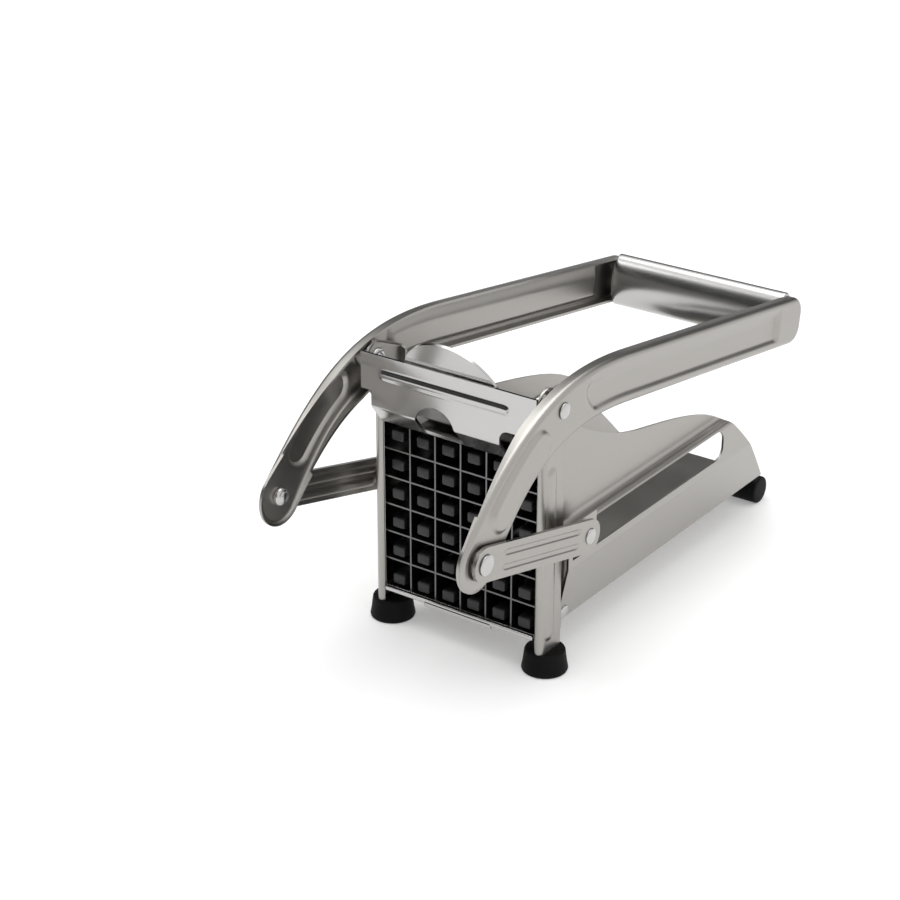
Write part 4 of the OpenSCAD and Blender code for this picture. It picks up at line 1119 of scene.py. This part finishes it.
class CUTTER_OT_rivets(Builder, bpy.types.Operator):
    """Builds the rivets and pins of the handle and the links"""

    bl_idname = "cutter.rivets"
    bl_label = "Rivets"

    def execute(self, context):
        s, steel = sizes(context, "links"), finishes(context).rivet
        head_h, out = 1.0, (1, 0, 0)
        heads = {"pivot_rivet": 3.4, "crank_rivet": 4.3, "link_rivet": 3.4}
        tails = {"pivot_rivet": (s.pin_r + 1.8, 1.5), "crank_rivet": (3.8, 2.8)}
        bodies = {"pivot_rivet": "frame", "crank_rivet": "handle"}
        for kind, head_r in heads.items():
            for side in ("right", "left"):
                low, high = corners(f"{kind}_{side}")
                inner, outer = (low[0], high[0]) if side == "right" else (-high[0], -low[0])
                middle = np.array([0, (low[1] + high[1]) / 2, (low[2] + high[2]) / 2])
                root, top = middle + [inner, 0, 0], outer - inner - head_h / 2
                skins = [
                    turned(dome_profile(head_r, head_h), middle + [outer - head_h, 0, 0], out),
                    turned([(0, 0), (s.pin_r, 0), (s.pin_r, top), (0, top)], root, out),
                ]
                if kind in tails:
                    tail_r, tail_h = tails[kind]
                    tail = [(r, tail_h - y) for r, y in dome_profile(tail_r, tail_h)]
                    skins.append(turned(tail[::-1], root, out))
                skin = joined(*skins) if side == "right" else mirrored(joined(*skins))
                body = bodies.get(kind, f"link_{side}")
                make(f"{side}_{kind}_head", skin, body, "rivet_steel", steel, f"{kind}_{side}")
        return {"FINISHED"}


class CUTTER_OT_pusher(Builder, bpy.types.Operator):
    """Builds the pusher's stubs and hood, and finishes its block and carriage"""

    bl_idname = "cutter.pusher"
    bl_label = "Pusher"

    def execute(self, context):
        s, look = sizes(context, "pusher"), finishes(context)
        across = (np.arange(6) - 2.5) * s.cell
        up = (np.arange(6) - 2.5) * s.row - s.drop
        stubs = joined(*[stub_skin(s, x, z) for x in across for z in up])
        make("stubs", stubs, "pusher", "black_plastic", look.plastic, "pusher_stubs")
        hood = ("pusher", "polished_steel", look.polished, "pusher_hood")
        make("hood", hood_skin(s), *hood, sheet=s.sheet, bevel=0.25)
        dress(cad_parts["pusher_block"], look.plastic)
        soften_node("pusher_block", 0.4)
        dress(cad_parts["pusher_carriage"], look.satin_solid)
        soften_node("pusher_carriage", 0.2)
        return {"FINISHED"}


class CUTTER_OT_feet(Builder, bpy.types.Operator):
    """Builds the rubber feet and the rear rod's sleeves"""

    bl_idname = "cutter.feet"
    bl_label = "Feet"

    def execute(self, context):
        s, look = sizes(context, "feet"), finishes(context)
        profile = [
            (0, 4.0), (4.0, 4.0), (4.0, 0.4), (4.4, 0.0), (s.low_r - 1.0, 0), (s.low_r - 0.3, 0.2),
            (s.low_r, 0.9), (s.low_r - 0.5, 3.4),
            (s.top_r + 0.12, s.height - 1.0), (s.top_r, s.height - 0.55),
            (s.top_r - 0.2, s.height - 0.2), (s.top_r - 0.6, s.height), (0, s.height),
        ]
        foot = turned(profile, (s.x, s.y, TABLE_Z), (0, 0, 1), 64)
        for side, skin in (("right", foot), ("left", mirrored(foot))):
            make(f"{side}_foot", skin, "frame", "black_rubber", look.rubber, f"front_foot_{side}")
            low, high = corners(f"rear_sleeve_{side}")
            r, middle = (high[1] - low[1]) / 2, (low[1] + high[1]) / 2
            long = high[0] - low[0]
            ease = [(r * k, h) for k, h in ((0.6, 0.0), (0.9, 0.05), (0.97, 0.3), (1.0, 0.9))]
            sleeve = [(0, 0.0), *ease, *[(a, long - h) for a, h in ease[::-1]], (0, long)]
            skin = turned(sleeve, (low[0], middle, high[2] - r), (1, 0, 0), 64)
            skin.xyz[:, 2] = np.maximum(skin.xyz[:, 2], TABLE_Z)
            make(f"{side}_sleeve", skin, "frame", "black_rubber", look.rubber, f"rear_sleeve_{side}")
        return {"FINISHED"}


class CUTTER_OT_hardware(Builder, bpy.types.Operator):
    """Finishes the small turned and folded parts that keep their CAD shapes"""

    bl_idname = "cutter.hardware"
    bl_label = "Hardware"

    def execute(self, context):
        look = finishes(context)
        small = ["skirt_rivets", "front_foot_screws", "rear_bracket_rivets", "rear_rod"]
        small += ["pusher_screws", "hood_screws"]
        paired = ("pivot_bush", "crank_washer", "link_spacer")
        small += [f"{name}_{side}" for name in paired for side in ("right", "left")]
        for name in small:
            dress(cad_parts[name], look.rivet)
            soften_node(name, 0.12)
        dress(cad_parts["rear_bracket"], look.satin_solid)
        soften_node("rear_bracket", 0.2)
        return {"FINISHED"}


# ---- Stage ----


class CUTTER_OT_stage(Builder, bpy.types.Operator):
    """Sets the floor, the lamps and the camera"""

    bl_idname = "cutter.stage"
    bl_label = "Stage"

    def execute(self, context):
        self.floor(sizes(context, "finishes").floor)
        self.world(context.scene)
        for name, at, aim, side, power in (
            ("left_lamp", (-0.9, -0.5, 0.9), (0, 0, 0.05), 0.5, 2.0),
            ("top_lamp", (-0.1, 0.1, 1.3), (0, 0, 0), 1.1, 9.0),
        ):
            lamp = bpy.data.lights.new(name, "AREA")
            lamp.size, lamp.energy = side, power
            obj = bpy.data.objects.new(name, lamp)
            obj.location = at
            obj.rotation_mode = "QUATERNION"
            obj.rotation_quaternion = (Vector(aim) - Vector(at)).to_track_quat("-Z", "Y")
            context.scene.collection.objects.link(obj)
        self.camera(context.scene)
        context.scene.view_settings.view_transform = "Standard"
        return {"FINISHED"}

    def floor(self, tint):
        """A wide pale floor that shows white to the camera and in reflections, less the shadow."""
        mesh = bpy.data.meshes.new("floor")
        mesh.from_pydata([(-6, -6, 0), (6, -6, 0), (6, 6, 0), (-6, 6, 0)], [], [(0, 1, 2, 3)])
        obj = bpy.data.objects.new("floor", mesh)
        obj.location.z = -0.0001
        bpy.context.scene.collection.objects.link(obj)
        material = bpy.data.materials.new("floor_white")
        material.use_nodes = True
        tree = material.node_tree
        tree.nodes.clear()
        path = node(tree, "ShaderNodeLightPath")
        seen = maths(tree, "MAXIMUM", path.outputs["Is Camera Ray"], path.outputs["Is Glossy Ray"])
        seen = maths(tree, "MAXIMUM", seen, path.outputs["Is Transmission Ray"])
        matt = node(tree, "ShaderNodeBsdfDiffuse", Color=(*tint, 1))
        strength = maths(tree, "MULTIPLY", seen, 0.25)
        glow = node(tree, "ShaderNodeEmission", Color=(1, 1, 1, 1), Strength=strength)
        both = node(tree, "ShaderNodeAddShader", i0=matt.outputs[0], i1=glow.outputs[0])
        out = node(tree, "ShaderNodeOutputMaterial")
        tree.links.new(both.outputs[0], out.inputs["Surface"])
        mesh.materials.append(material)

    def world(self, scene):
        """White at the horizon, on the right and overhead, and a dark room on the left. The camera
        sees white all round."""
        world = bpy.data.worlds.new("studio")
        world.use_nodes = True
        scene.world = world
        tree = world.node_tree
        tree.nodes.clear()
        way = node(tree, "ShaderNodeTexCoord").outputs["Generated"]
        way = node(tree, "ShaderNodeSeparateXYZ", Vector=way)
        up = node(tree, "ShaderNodeMapRange", Value=way.outputs["Z"], From_Min=0.03, From_Max=0.1)
        ceiling = node(tree, "ShaderNodeMapRange", Value=way.outputs["Z"], From_Min=0.58, From_Max=0.72)
        right = node(tree, "ShaderNodeMapRange", Value=way.outputs["X"], From_Min=0.3, From_Max=0.5)
        dark = maths(tree, "MULTIPLY", up.outputs[0], maths(tree, "SUBTRACT", 1.0, right.outputs[0]))
        dark = maths(tree, "MULTIPLY", dark, maths(tree, "SUBTRACT", 1.0, ceiling.outputs[0]))
        seen = node(tree, "ShaderNodeLightPath").outputs["Is Camera Ray"]
        dark = maths(tree, "MULTIPLY", dark, maths(tree, "SUBTRACT", 1.0, seen))
        strength = maths(tree, "MULTIPLY_ADD", dark, -0.96, 1.0)
        light = node(tree, "ShaderNodeBackground", Color=(1, 1, 1, 1), Strength=strength)
        out = node(tree, "ShaderNodeOutputWorld")
        tree.links.new(light.outputs[0], out.inputs["Surface"])

    def camera(self, scene):
        """The photograph's view, in millimetres from the blade grid's front."""
        azimuth, elevation = math.radians(35.869), math.radians(24.986)
        stand = np.array([470.65, -658.10, 411.47])
        data = bpy.data.cameras.new("camera")
        data.sensor_width, data.lens = 36, 89.04
        data.clip_start, data.clip_end = 0.05, 50
        obj = bpy.data.objects.new("camera", data)
        level = math.cos(elevation)
        back = Vector((math.sin(azimuth) * level, -math.cos(azimuth) * level, math.sin(elevation)))
        obj.location = place(stand)
        obj.rotation_mode = "QUATERNION"
        obj.rotation_quaternion = (-back).to_track_quat("-Z", "Y")
        scene.collection.objects.link(obj)
        scene.camera = obj


OPERATORS = (
    CUTTER_OT_trough,
    CUTTER_OT_cassette,
    CUTTER_OT_posts,
    CUTTER_OT_arms,
    CUTTER_OT_links,
    CUTTER_OT_rivets,
    CUTTER_OT_pusher,
    CUTTER_OT_feet,
    CUTTER_OT_hardware,
    CUTTER_OT_stage,
)


class CUTTER_PT_panel(bpy.types.Panel):
    """The cutter's sizes and the buttons that build it"""

    bl_label = "Fry Cutter"
    bl_idname = "CUTTER_PT_panel"
    bl_space_type = "VIEW_3D"
    bl_region_type = "UI"
    bl_category = "Fry Cutter"

    def draw(self, context):
        for operator in OPERATORS:
            self.layout.operator(operator.bl_idname)
        for name, group in GROUPS.items():
            box = self.layout.box()
            box.label(text=name.capitalize())
            for field in group.__annotations__:
                box.prop(getattr(context.scene, "cutter_" + name), field)


def register():
    """Adds the classes, and each group of sizes to the scene."""
    for made in (*GROUPS.values(), *OPERATORS, CUTTER_PT_panel):
        bpy.utils.register_class(made)
    for name, group in GROUPS.items():
        setattr(bpy.types.Scene, "cutter_" + name, bpy.props.PointerProperty(type=group))


def unregister():
    """Takes them away again."""
    for name in GROUPS:
        delattr(bpy.types.Scene, "cutter_" + name)
    for made in (CUTTER_PT_panel, *reversed(OPERATORS), *reversed(GROUPS.values())):
        bpy.utils.unregister_class(made)


def main():
    """Builds every piece."""
    register()
    for operator in OPERATORS:
        group, name = operator.bl_idname.split(".")
        getattr(getattr(bpy.ops, group), name)()


if __name__ == "__main__":
    main()
